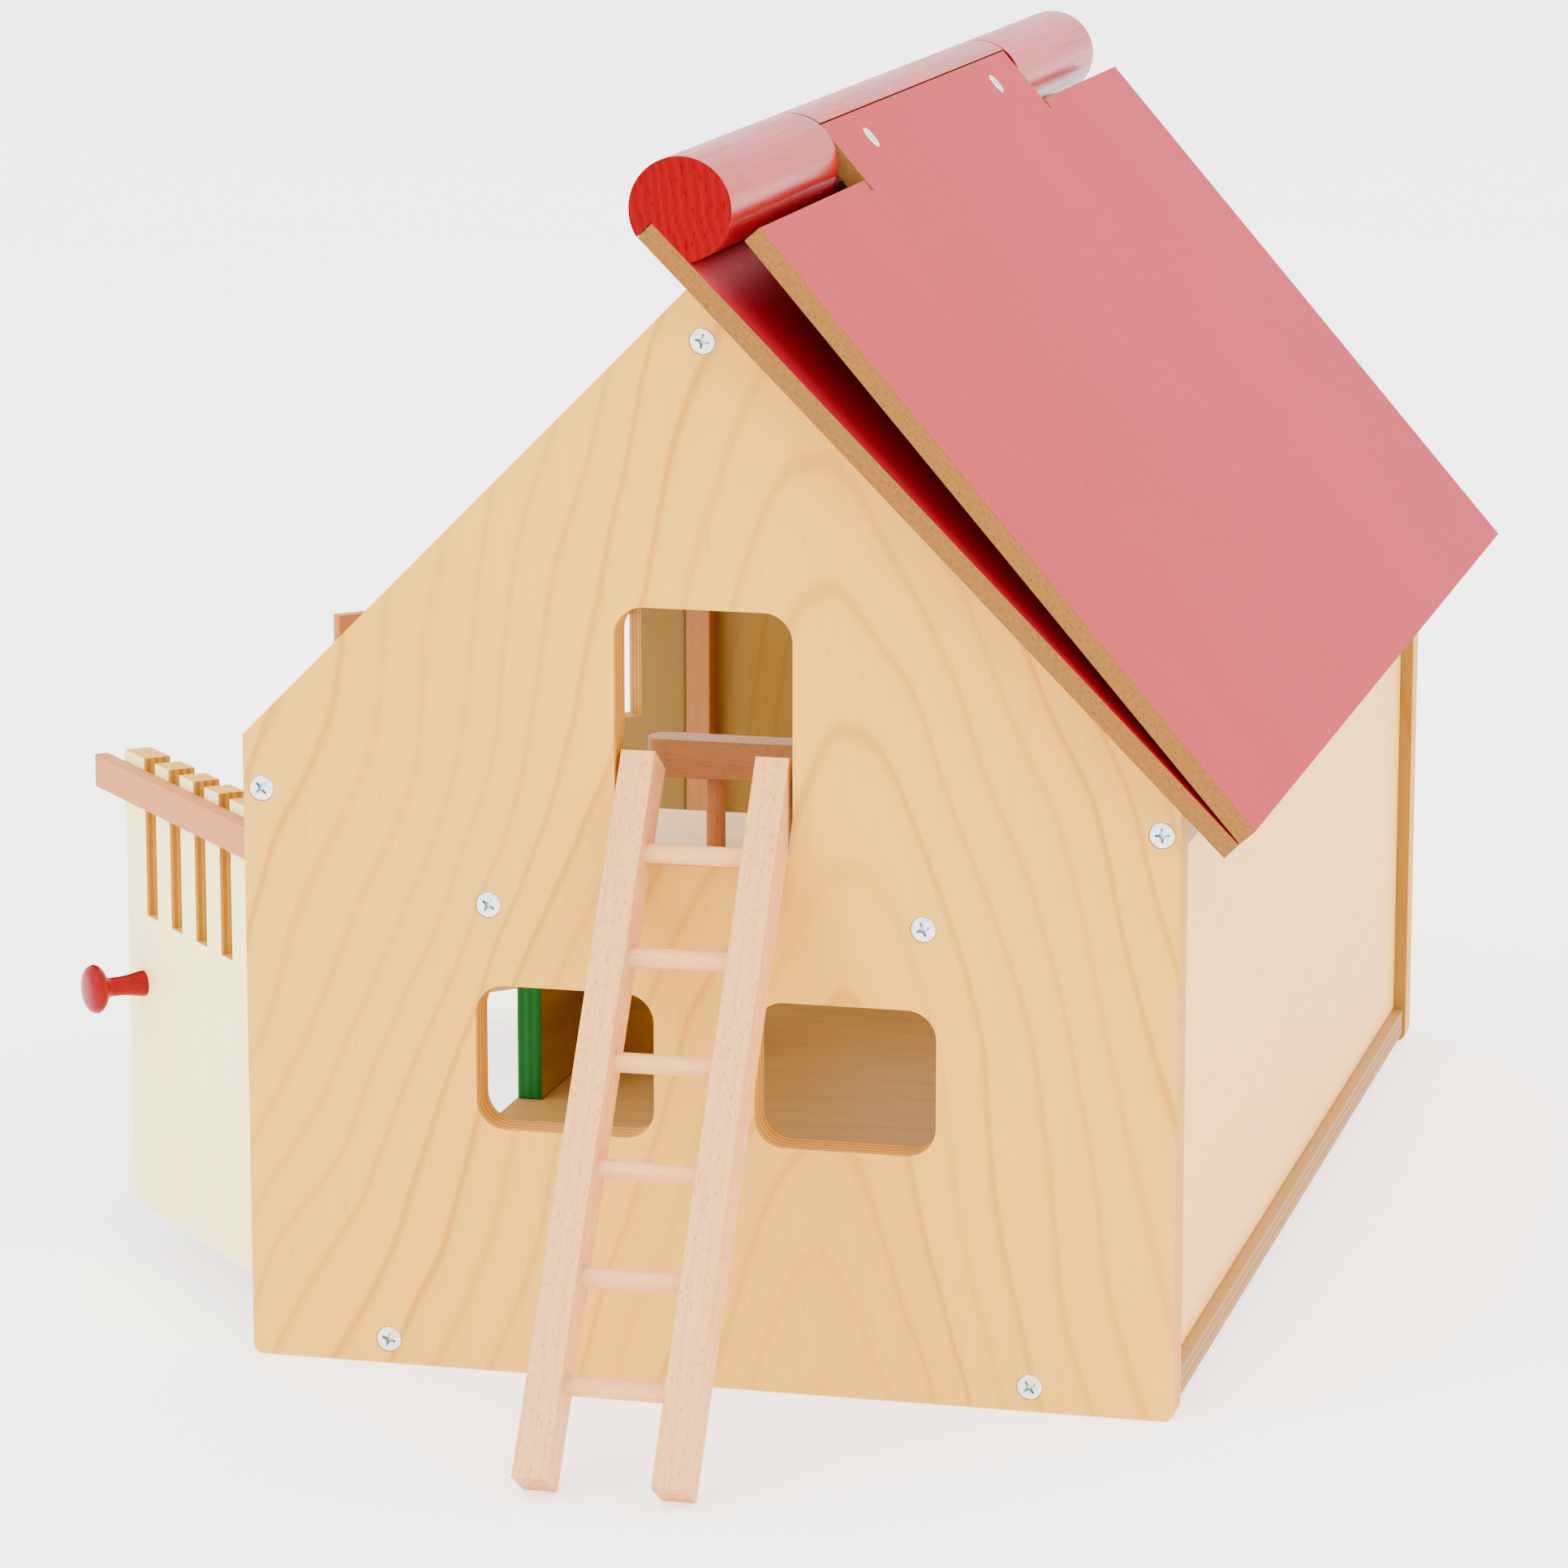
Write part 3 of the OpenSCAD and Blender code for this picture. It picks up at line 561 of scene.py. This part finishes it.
def shell_of(node):
    """A merged copy of a CAD solid's mesh as a bmesh, its flat faces joined up."""
    bm = bmesh.new()
    bm.from_mesh(NODES[node].data)
    bmesh.ops.remove_doubles(bm, verts=bm.verts, dist=WELD)
    bmesh.ops.dissolve_limit(bm, angle_limit=math.radians(0.6), verts=bm.verts, edges=bm.edges,
                             use_dissolve_boundaries=False, delimit={"NORMAL"})
    return bm


def soften(bm, width, segments=2, sharp=35.0):
    """Rounds the sharp edges and marks the new faces as sanded."""
    mark = bm.faces.layers.float.new("sanded")
    for face in bm.faces:
        face.smooth = True
        face[mark] = 0.0
    edges = [e for e in bm.edges if len(e.link_faces) == 2 and e.calc_face_angle(0.0) > math.radians(sharp)]
    made = bmesh.ops.bevel(bm, geom=edges, offset=width, offset_type="OFFSET", affect="EDGES",
                           segments=segments, profile=0.5, material=-1, clamp_overlap=True)
    for face in made["faces"]:
        if face.is_valid:
            face.smooth = True
            face[mark] = 1.0
    return bm


def finish_piece(bm, name, body, material, replaces=(), weighted=True):
    """Turns a bmesh into a piece that rides on its body in place of the named CAD nodes."""
    mesh = bpy.data.meshes.new(name)
    bm.to_mesh(mesh)
    bm.free()
    piece = bpy.data.objects.new(name, mesh)
    bpy.context.scene.collection.objects.link(piece)
    for one in material if isinstance(material, (list, tuple)) else [material]:
        mesh.materials.append(one)
    if weighted:
        smooth = piece.modifiers.new("Flat faces", "WEIGHTED_NORMAL")
        smooth.keep_sharp = True
        smooth.weight = 90
    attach(piece, body)
    if replaces:
        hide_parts(*replaces)
    return piece


def dress(node, material, width, segments=2, sharp=35.0):
    """Softened copy of one CAD node in its finish."""
    bm = soften(shell_of(node), width, segments, sharp)
    return finish_piece(bm, node + "_piece", BODY_OF[node], material, [node])


def islands(node):
    """The points of each of a node's separate solids, in the order of its mesh."""
    bm = bmesh.new()
    bm.from_mesh(NODES[node].data)
    bmesh.ops.remove_doubles(bm, verts=bm.verts, dist=WELD)
    left, found = set(bm.verts), []
    for seed in bm.verts:
        if seed not in left:
            continue
        left.discard(seed)
        group, stack = [seed], [seed]
        while stack:
            for e in stack.pop().link_edges:
                for w in e.verts:
                    if w in left:
                        left.discard(w)
                        group.append(w)
                        stack.append(w)
        found.append([v.co.copy() for v in group])
    bm.free()
    return found


def turned(profile, steps):
    """Closed shape round Z from points of radius and height that start and end on the axis."""
    bm = bmesh.new()
    turns = [2 * math.pi * k / steps for k in range(steps)]
    rings = []
    for r, z in profile:
        spots = [(r * math.cos(a), r * math.sin(a), z) for a in turns] if r else [(0, 0, z)]
        made = [bm.verts.new(spot) for spot in spots]
        rings.append(made if r else made * steps)
    for low, high in zip(rings, rings[1:]):
        for i in range(steps):
            k = (i + 1) % steps
            bm.faces.new(list(dict.fromkeys((low[i], low[k], high[k], high[i]))))
    bmesh.ops.recalc_face_normals(bm, faces=bm.faces)
    for face in bm.faces:
        face.smooth = True
    return bm


def screw_shape(place, length, head=0.004, shank=0.002):
    """Countersunk screw whose head face is at the origin of place and points to -Z."""
    profile = [(0.0, 0.0), (head - 0.00055, 0.0), (head - 0.00025, 0.00008), (head - 0.00005, 0.00028),
               (head, 0.00055), (head, 0.0007), (shank, 0.0007 + (head - shank)), (shank, length - 0.003),
               (0.0005, length), (0.0, length)]
    bm = turned(profile, 40)
    bmesh.ops.transform(bm, matrix=place, verts=bm.verts)
    return bm


def cross_cutter(place, turn):
    """Tapered cross recess with its four small points, as a closed bmesh."""
    bm = bmesh.new()
    arm, half, core = 0.00235, 0.00046, 0.0009
    out = []
    for k in range(4):
        a = math.radians(90 * k + turn)
        c, s = math.cos(a), math.sin(a)
        for u, v in ((core, -core), (core + 0.0001, -half), (arm, -half), (arm, half), (core + 0.0001, half)):
            out.append((u * c - v * s, u * s + v * c))
    top = [bm.verts.new((x * 1.04, y * 1.04, -0.0006)) for x, y in out]
    base = bm.faces.new(top)
    made = bmesh.ops.extrude_face_region(bm, geom=[base])
    low = [v for v in made["geom"] if isinstance(v, bmesh.types.BMVert)]
    for v in low:
        v.co = Vector((v.co.x * 0.52, v.co.y * 0.52, 0.0022))
    bmesh.ops.recalc_face_normals(bm, faces=bm.faces)
    bmesh.ops.transform(bm, matrix=place, verts=bm.verts)
    return bm


def as_object(bm, name):
    mesh = bpy.data.meshes.new(name)
    bm.to_mesh(mesh)
    bm.free()
    obj = bpy.data.objects.new(name, mesh)
    bpy.context.scene.collection.objects.link(obj)
    return obj


def screws_piece(node, axis_in, length, material, turn=18.0):
    """Turned screws with cross recesses in place of the plain CAD screws.

    axis_in is the direction in which the screws are driven."""
    axis_in = Vector(axis_in).normalized()
    turn_to = Vector((0, 0, 1)).rotation_difference(axis_in).to_matrix().to_4x4()
    whole, holes = bmesh.new(), bmesh.new()
    for i, points in enumerate(islands(node)):
        near = min(p.dot(axis_in) for p in points)
        top = [p for p in points if p.dot(axis_in) < near + 0.0001]
        centre = Vector([(min(p[k] for p in top) + max(p[k] for p in top)) / 2 for k in range(3)])
        place = Matrix.Translation(centre) @ turn_to
        recess = cross_cutter(place, turn + RECESS_TURN * i)
        for target, bm in ((whole, screw_shape(place, length)), (holes, recess)):
            tmp = bpy.data.meshes.new("tmp")
            bm.to_mesh(tmp)
            bm.free()
            target.from_mesh(tmp)
            bpy.data.meshes.remove(tmp)
    body = as_object(whole, node + "_piece")
    cutter = as_object(holes, node + "_cut")
    cut = body.modifiers.new("Recess", "BOOLEAN")
    cut.operation, cut.object, cut.solver = "DIFFERENCE", cutter, "EXACT"
    bpy.context.view_layer.update()
    dg = bpy.context.evaluated_depsgraph_get()
    done = bpy.data.meshes.new_from_object(body.evaluated_get(dg))
    body.modifiers.clear()
    old = body.data
    body.data = done
    bpy.data.meshes.remove(old)
    bpy.data.objects.remove(cutter)
    done.materials.clear()
    done.materials.append(material)
    sharp = bmesh.new()
    sharp.from_mesh(done)
    for e in sharp.edges:
        e.smooth = len(e.link_faces) == 2 and e.calc_face_angle(0.0) < math.radians(32)
    for f in sharp.faces:
        f.smooth = True
    sharp.to_mesh(done)
    sharp.free()
    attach(body, BODY_OF[node])
    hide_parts(node)
    return body


def knob_piece(node, leaf, material):
    """Turned mushroom knob: flared stem and a domed head, spun round its own axis."""
    lo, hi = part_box(node)
    centre = (lo + hi) / 2
    verts = [v.co.copy() for v in NODES[node].data.vertices]
    # The knob's axis is level: it runs from the tenon's end to the dome's end.
    angle = joint_angle(leaf)
    out = Vector((-math.cos(angle), -math.sin(angle), 0))
    reach = [v.dot(out) for v in verts]
    start, end = min(reach), max(reach)
    side = Vector((-out.y, out.x, 0))
    mid = [v.dot(side) for v in verts]
    origin = side * ((min(mid) + max(mid)) / 2) + Vector((0, 0, centre.z))
    r_head = (hi.z - lo.z) / 2
    total = end - start
    tenon = 0.006
    long = total - tenon
    stem = 0.0042
    profile = [(0.0, 0.0), (0.002, 0.0), (0.002, tenon - 0.0001), (stem, tenon), (stem, tenon + 0.0006)]
    steps = 10
    for i in range(steps + 1):
        t = i / steps
        profile.append((stem - 0.0011 * math.sin(t * math.pi * 0.62), tenon + 0.001 + t * (long - 0.0092)))
    z0 = tenon + long
    profile += [(r_head * 0.55, z0 - 0.0066), (r_head * 0.78, z0 - 0.0058), (r_head * 0.93, z0 - 0.0048),
                (r_head * 0.995, z0 - 0.0036), (r_head * 0.99, z0 - 0.0028), (r_head * 0.93, z0 - 0.0017),
                (r_head * 0.80, z0 - 0.0009), (r_head * 0.58, z0 - 0.0003),
                (r_head * 0.30, z0 - 0.00005), (0.0, z0)]
    bm = turned(profile, 56)
    bm.faces.layers.float.new("sanded")
    turn_to = Vector((0, 0, 1)).rotation_difference(out).to_matrix().to_4x4()
    place = Matrix.Translation(origin + out * start) @ turn_to
    bmesh.ops.transform(bm, matrix=place, verts=bm.verts)
    return finish_piece(bm, node + "_piece", BODY_OF[node], material, [node], weighted=False)


def joint_angle(leaf):
    """Turn of a door leaf about Z as it stands, 0 when shut; read from its long side."""
    upright = (p for p in NODES[leaf].data.polygons if abs(p.normal.z) < 0.01)
    n = max(upright, key=lambda p: p.area).normal.copy()
    if n.x > 0:
        n = -n
    return math.atan2(-n.y, -n.x)


# ---------------------------------------------------------------- operators


def wood():
    return bpy.context.scene.hen_house_wood


def paint():
    return bpy.context.scene.hen_house_paint


class HENHOUSE_OT_gables(bpy.types.Operator):
    """Both plywood gables with arched growth lines and layered window edges"""

    bl_idname = "henhouse.gables"
    bl_label = "Gables"

    def execute(self, context):
        w = wood()
        near = figured_ply("near gable ply", w.gable_light, w.gable_dark, w.growth_width,
                           "x", "z", 0.032, 0.30, 1.3)
        # The far gable's inner face gets painted shade from the inner tint.
        far = figured_ply("far gable ply", w.gable_light, w.gable_dark, w.growth_width,
                          "x", "z", -0.05, 0.26, 8.1, inner=(0.40, 0.40, 0.40))
        dress("near_gable", near, w.edge_round, 2)
        dress("far_gable", far, w.edge_round, 2)
        return {"FINISHED"}


class HENHOUSE_OT_boards(bpy.types.Operator):
    """Base board, closed wall and loft floor in pale ply"""

    bl_idname = "henhouse.boards"
    bl_label = "Base, wall and loft"

    def execute(self, context):
        w = wood()
        floor = figured_ply("base ply", tint(w.gable_light, (0.52, 0.54, 1.4)),
                            tint(w.gable_dark, (0.54, 0.62, 2.2)), 0.014,
                            "y", "x", 0.30, 0.10, 4.4, 0.55, "z")
        wall = figured_ply("wall ply", w.wall_light, w.wall_dark, 0.020,
                           "z", "y", 0.10, 0.05, 6.2, 0.30, "x")
        loft = figured_ply("loft ply", tint(w.wall_light, (1.0, 1.2, 2.9)),
                           tint(w.wall_dark, (1.0, 1.2, 2.9)), 0.015,
                           "y", "x", 0.02, 0.07, 2.7, 0.40, "z")
        dress("base_board", floor, w.edge_round)
        dress("back_wall", wall, w.edge_round)
        dress("loft_floor", loft, w.edge_round)
        return {"FINISHED"}


class HENHOUSE_OT_rails(bpy.types.Operator):
    """Eave rails, ridge batten and door stops in beech"""

    bl_idname = "henhouse.rails"
    bl_label = "Rails and stops"

    def execute(self, context):
        w = wood()
        shade = (0.52, 0.48, 0.42)
        rail = plain_wood("rail beech", tint(w.beech_light, shade), tint(w.beech_dark, shade), "y", 0.2)
        post = plain_wood("stop beech", tint(w.beech_light, (0.60, 0.52, 0.42)),
                          tint(w.beech_dark, 0.6), "z", 0.5)
        for node in ("front_rail", "back_rail", "ridge_batten"):
            dress(node, rail, w.edge_round)
        for node in ("near_door_stop", "far_door_stop"):
            dress(node, post, w.edge_round)
        return {"FINISHED"}


class HENHOUSE_OT_perch(bpy.types.Operator):
    """Perch bar and its dowel posts on the loft"""

    bl_idname = "henhouse.perch"
    bl_label = "Perch"

    def execute(self, context):
        w = wood()
        bar = plain_wood("perch beech", tint(w.beech_light, (0.54, 0.52, 0.62)),
                         tint(w.beech_dark, 0.6), "x", 0.1)
        post = plain_wood("dowel beech", tint(w.beech_light, (0.62, 0.60, 0.68)),
                          tint(w.beech_dark, 0.62), "z", 0.8)
        dress("perch_bar", bar, w.edge_round)
        dress("perch_posts", post, w.edge_round * 0.6)
        return {"FINISHED"}


class HENHOUSE_OT_nest(bpy.types.Operator):
    """Nest board with its green edge, and the short board behind it"""

    bl_idname = "henhouse.nest"
    bl_label = "Nest boards"

    def execute(self, context):
        w = wood()
        side = figured_ply("nest ply", tint(w.gable_light, (0.50, 0.42, 0.40)),
                           tint(w.gable_dark, 0.5), 0.012, "z", "x", 0.05, 0.06, 5.5, 0.5, "y")
        dress("nest_front", nest_finish("nest green", w, paint()), w.edge_round)
        dress("nest_side", side, w.edge_round)
        return {"FINISHED"}


class HENHOUSE_OT_roof(bpy.types.Operator):
    """Fixed roof board and folding lid with red faces and bare edges"""

    bl_idname = "henhouse.roof"
    bl_label = "Roof boards"

    def execute(self, context):
        p = paint()
        dress("fixed_roof_board", roof_board_finish("fixed roof film", p, -ROOF_SLOPE), BOARD_ROUND)
        dress("roof_lid", roof_board_finish("lid film", p, -lid_dip()), BOARD_ROUND)
        return {"FINISHED"}


class HENHOUSE_OT_ridge(bpy.types.Operator):
    """Three-part ridge log in gloss red on its steel pin"""

    bl_idname = "henhouse.ridge"
    bl_label = "Ridge log"

    def execute(self, context):
        p = paint()
        red = gloss_red("ridge log red", p, "y")
        for node in ("near_ridge_log", "middle_ridge_log", "far_ridge_log"):
            dress(node, red, LOG_ROUND, 3, 30.0)
        dress("ridge_pin", zinc_finish("pin steel", p), PIN_ROUND, 2)
        return {"FINISHED"}


class HENHOUSE_OT_screws(bpy.types.Operator):
    """Turned countersunk screws with cross recesses"""

    bl_idname = "henhouse.screws"
    bl_label = "Screws"

    def execute(self, context):
        zinc = zinc_finish("screw zinc", paint())
        tilt = math.radians(ROOF_SLOPE)
        dip = math.radians(lid_dip())
        screws_piece("near_gable_screws", (0, 1, 0), SCREW_LONG, zinc, 12.0)
        screws_piece("far_gable_screws", (0, -1, 0), SCREW_LONG, zinc, 40.0)
        screws_piece("ridge_log_screws", (math.sin(tilt), 0, math.cos(tilt)), SCREW_SHORT, zinc, 25.0)
        screws_piece("lid_screws", (-math.sin(dip), 0, -math.cos(dip)), SCREW_SHORT, zinc, 5.0)
        return {"FINISHED"}


class HENHOUSE_OT_doors(bpy.types.Operator):
    """Slatted door leaves with handrails and turned knobs on steel pins"""

    bl_idname = "henhouse.doors"
    bl_label = "Door leaves"

    def execute(self, context):
        w, p = wood(), paint()
        knob = gloss_red("knob red", p, "z", end_grain=False)
        steel = zinc_finish("door pin steel", p)
        for side in ("near", "far"):
            turn = math.degrees(joint_angle(side + "_leaf"))
            dress(side + "_leaf", leaf_finish(side + " leaf birch", w, -turn), w.edge_round)
            rail = plain_wood(side + " handrail beech", tint(w.beech_light, (0.64, 0.44, 0.26)),
                              tint(w.beech_dark, (0.74, 0.60, 0.42)), "y", 0.35, (0, 0, -turn), 0.30)
            dress(side + "_handrail", rail, w.edge_round)
            knob_piece(side + "_knob", side + "_leaf", knob)
            dress(side + "_leaf_pins", steel, DOWEL_ROUND)
        return {"FINISHED"}


class HENHOUSE_OT_ladder(bpy.types.Operator):
    """Beech ladder that leans on the upper window"""

    bl_idname = "henhouse.ladder"
    bl_label = "Ladder"

    def execute(self, context):
        w = wood()
        lean = ladder_lean()
        left = plain_wood("ladder rail beech", w.beech_light, w.beech_dark, "z", 0.15, (lean, 0, 0), 0.50)
        right = plain_wood("ladder right beech", tint(w.beech_light, 1.02), w.beech_dark,
                           "z", 0.62, (lean, 0, 0), 0.50)
        rung = plain_wood("rung beech", tint(w.beech_light, (1.03, 1.06, 1.08)), w.beech_dark,
                          "x", 0.4, (0, 0, 0), 0.25)
        dress("ladder_left_rail", left, LOG_ROUND, 3)
        dress("ladder_right_rail", right, LOG_ROUND, 3)
        dress("ladder_rungs", rung, DOWEL_ROUND)
        return {"FINISHED"}


def lid_dip():
    """Angle of the open lid below the level, in degrees; read from its widest face."""
    best = max((p for p in NODES["roof_lid"].data.polygons if p.normal.z > 0.3), key=lambda p: p.area)
    return math.degrees(math.atan2(best.normal.x, best.normal.z))


def ladder_lean():
    """Lean of the ladder from upright, in degrees; read from the back of its rails."""
    faces = NODES["ladder_left_rail"].data.polygons
    best = max((p for p in faces if abs(p.normal.x) < 0.01), key=lambda p: p.area)
    return math.degrees(math.atan2(abs(best.normal.z), abs(best.normal.y)))


class HENHOUSE_OT_stage(bpy.types.Operator):
    """Plain floor, soft light and the camera"""

    bl_idname = "henhouse.stage"
    bl_label = "Stage"

    def execute(self, context):
        s = context.scene.hen_house_stage
        bm = bmesh.new()
        bmesh.ops.create_grid(bm, x_segments=1, y_segments=1, size=FLOOR_HALF)
        bmesh.ops.translate(bm, verts=bm.verts, vec=(0, 0, -FLOOR_DROP))
        floor = as_object(bm, "floor")
        f = Finish("floor paper")
        mottle = f.noise(f.here, 3.0, 2.0)
        f.set(Base_Color=f.mix(f.span(mottle, 0.3, 0.7), (s.floor_tone,) * 3, (s.floor_tone * 0.985,) * 3))
        f.set(Roughness=0.9, Specular_IOR_Level=0.1)
        f.set(Emission_Color=(1.0, 1.0, 1.0), Emission_Strength=s.floor_glow)
        floor.data.materials.append(f.mat)

        world = bpy.data.worlds.new("studio")
        world.use_nodes = True
        nodes = world.node_tree.nodes
        back = nodes["Background"]
        back.inputs[0].default_value = SKY_COLOUR
        back.inputs[1].default_value = SKY_STRENGTH
        context.scene.world = world

        def soft(name, at, look, size, power, tone=(1, 1, 1)):
            lamp = bpy.data.lights.new(name, "AREA")
            lamp.shape, lamp.size, lamp.energy, lamp.color = "SQUARE", size, power, tone
            obj = bpy.data.objects.new(name, lamp)
            obj.location = at
            obj.rotation_euler = (Vector(look) - Vector(at)).to_track_quat("-Z", "Y").to_euler()
            context.scene.collection.objects.link(obj)

        soft("key", (-1.1, -1.5, 1.9), (0, 0.1, 0.15), 1.6, s.key_power, (1.0, 0.985, 0.96))
        soft("fill", (1.9, -0.9, 1.2), (0, 0.2, 0.15), 1.8, s.key_power * FILL_SHARE, (1.0, 0.99, 0.98))
        soft("roof", (1.3, 1.4, 1.9), (0.05, 0.25, 0.25), 1.6, s.key_power * ROOF_SHARE, (1.0, 0.99, 0.99))

        cam = bpy.data.cameras.new("camera")
        cam.lens = s.lens
        cam.sensor_width = SENSOR
        cam.clip_start, cam.clip_end = 0.1, 60.0
        obj = bpy.data.objects.new("camera", cam)
        spot = Vector(CAMERA_AT) * MM
        pan, tilt = math.radians(CAMERA_PAN), math.radians(CAMERA_TILT)
        ahead = Vector((-math.sin(pan) * math.cos(tilt), math.cos(pan) * math.cos(tilt), -math.sin(tilt)))
        obj.location = spot
        obj.rotation_euler = ahead.to_track_quat("-Z", "Y").to_euler()
        context.scene.collection.objects.link(obj)
        context.scene.camera = obj
        return {"FINISHED"}


STEPS = (
    HENHOUSE_OT_stage, HENHOUSE_OT_gables, HENHOUSE_OT_boards, HENHOUSE_OT_rails, HENHOUSE_OT_perch,
    HENHOUSE_OT_nest, HENHOUSE_OT_roof, HENHOUSE_OT_ridge, HENHOUSE_OT_screws, HENHOUSE_OT_doors,
    HENHOUSE_OT_ladder,
)


class HENHOUSE_PT_panel(bpy.types.Panel):
    """Lists the pieces of the hen house"""

    bl_idname = "HENHOUSE_PT_panel"
    bl_label = "Hen House"
    bl_space_type = "VIEW_3D"
    bl_region_type = "UI"
    bl_category = "Hen House"

    def draw(self, context):
        column = self.layout.column(align=True)
        for step in STEPS:
            column.operator(step.bl_idname)
        scene = context.scene
        for group in (scene.hen_house_wood, scene.hen_house_paint, scene.hen_house_stage):
            box = self.layout.box()
            for key in group.__annotations__:
                box.prop(group, key)


GROUPS = (HenHouseWood, HenHousePaint, HenHouseStage)


def register():
    for cls in (*GROUPS, *STEPS, HENHOUSE_PT_panel):
        bpy.utils.register_class(cls)
    bpy.types.Scene.hen_house_wood = bpy.props.PointerProperty(type=HenHouseWood)
    bpy.types.Scene.hen_house_paint = bpy.props.PointerProperty(type=HenHousePaint)
    bpy.types.Scene.hen_house_stage = bpy.props.PointerProperty(type=HenHouseStage)


def unregister():
    del bpy.types.Scene.hen_house_stage
    del bpy.types.Scene.hen_house_paint
    del bpy.types.Scene.hen_house_wood
    for cls in reversed((*GROUPS, *STEPS, HENHOUSE_PT_panel)):
        bpy.utils.unregister_class(cls)


def main():
    register()
    for step in STEPS:
        group, call = step.bl_idname.split(".")
        getattr(getattr(bpy.ops, group), call)()


if __name__ == "__main__":
    main()
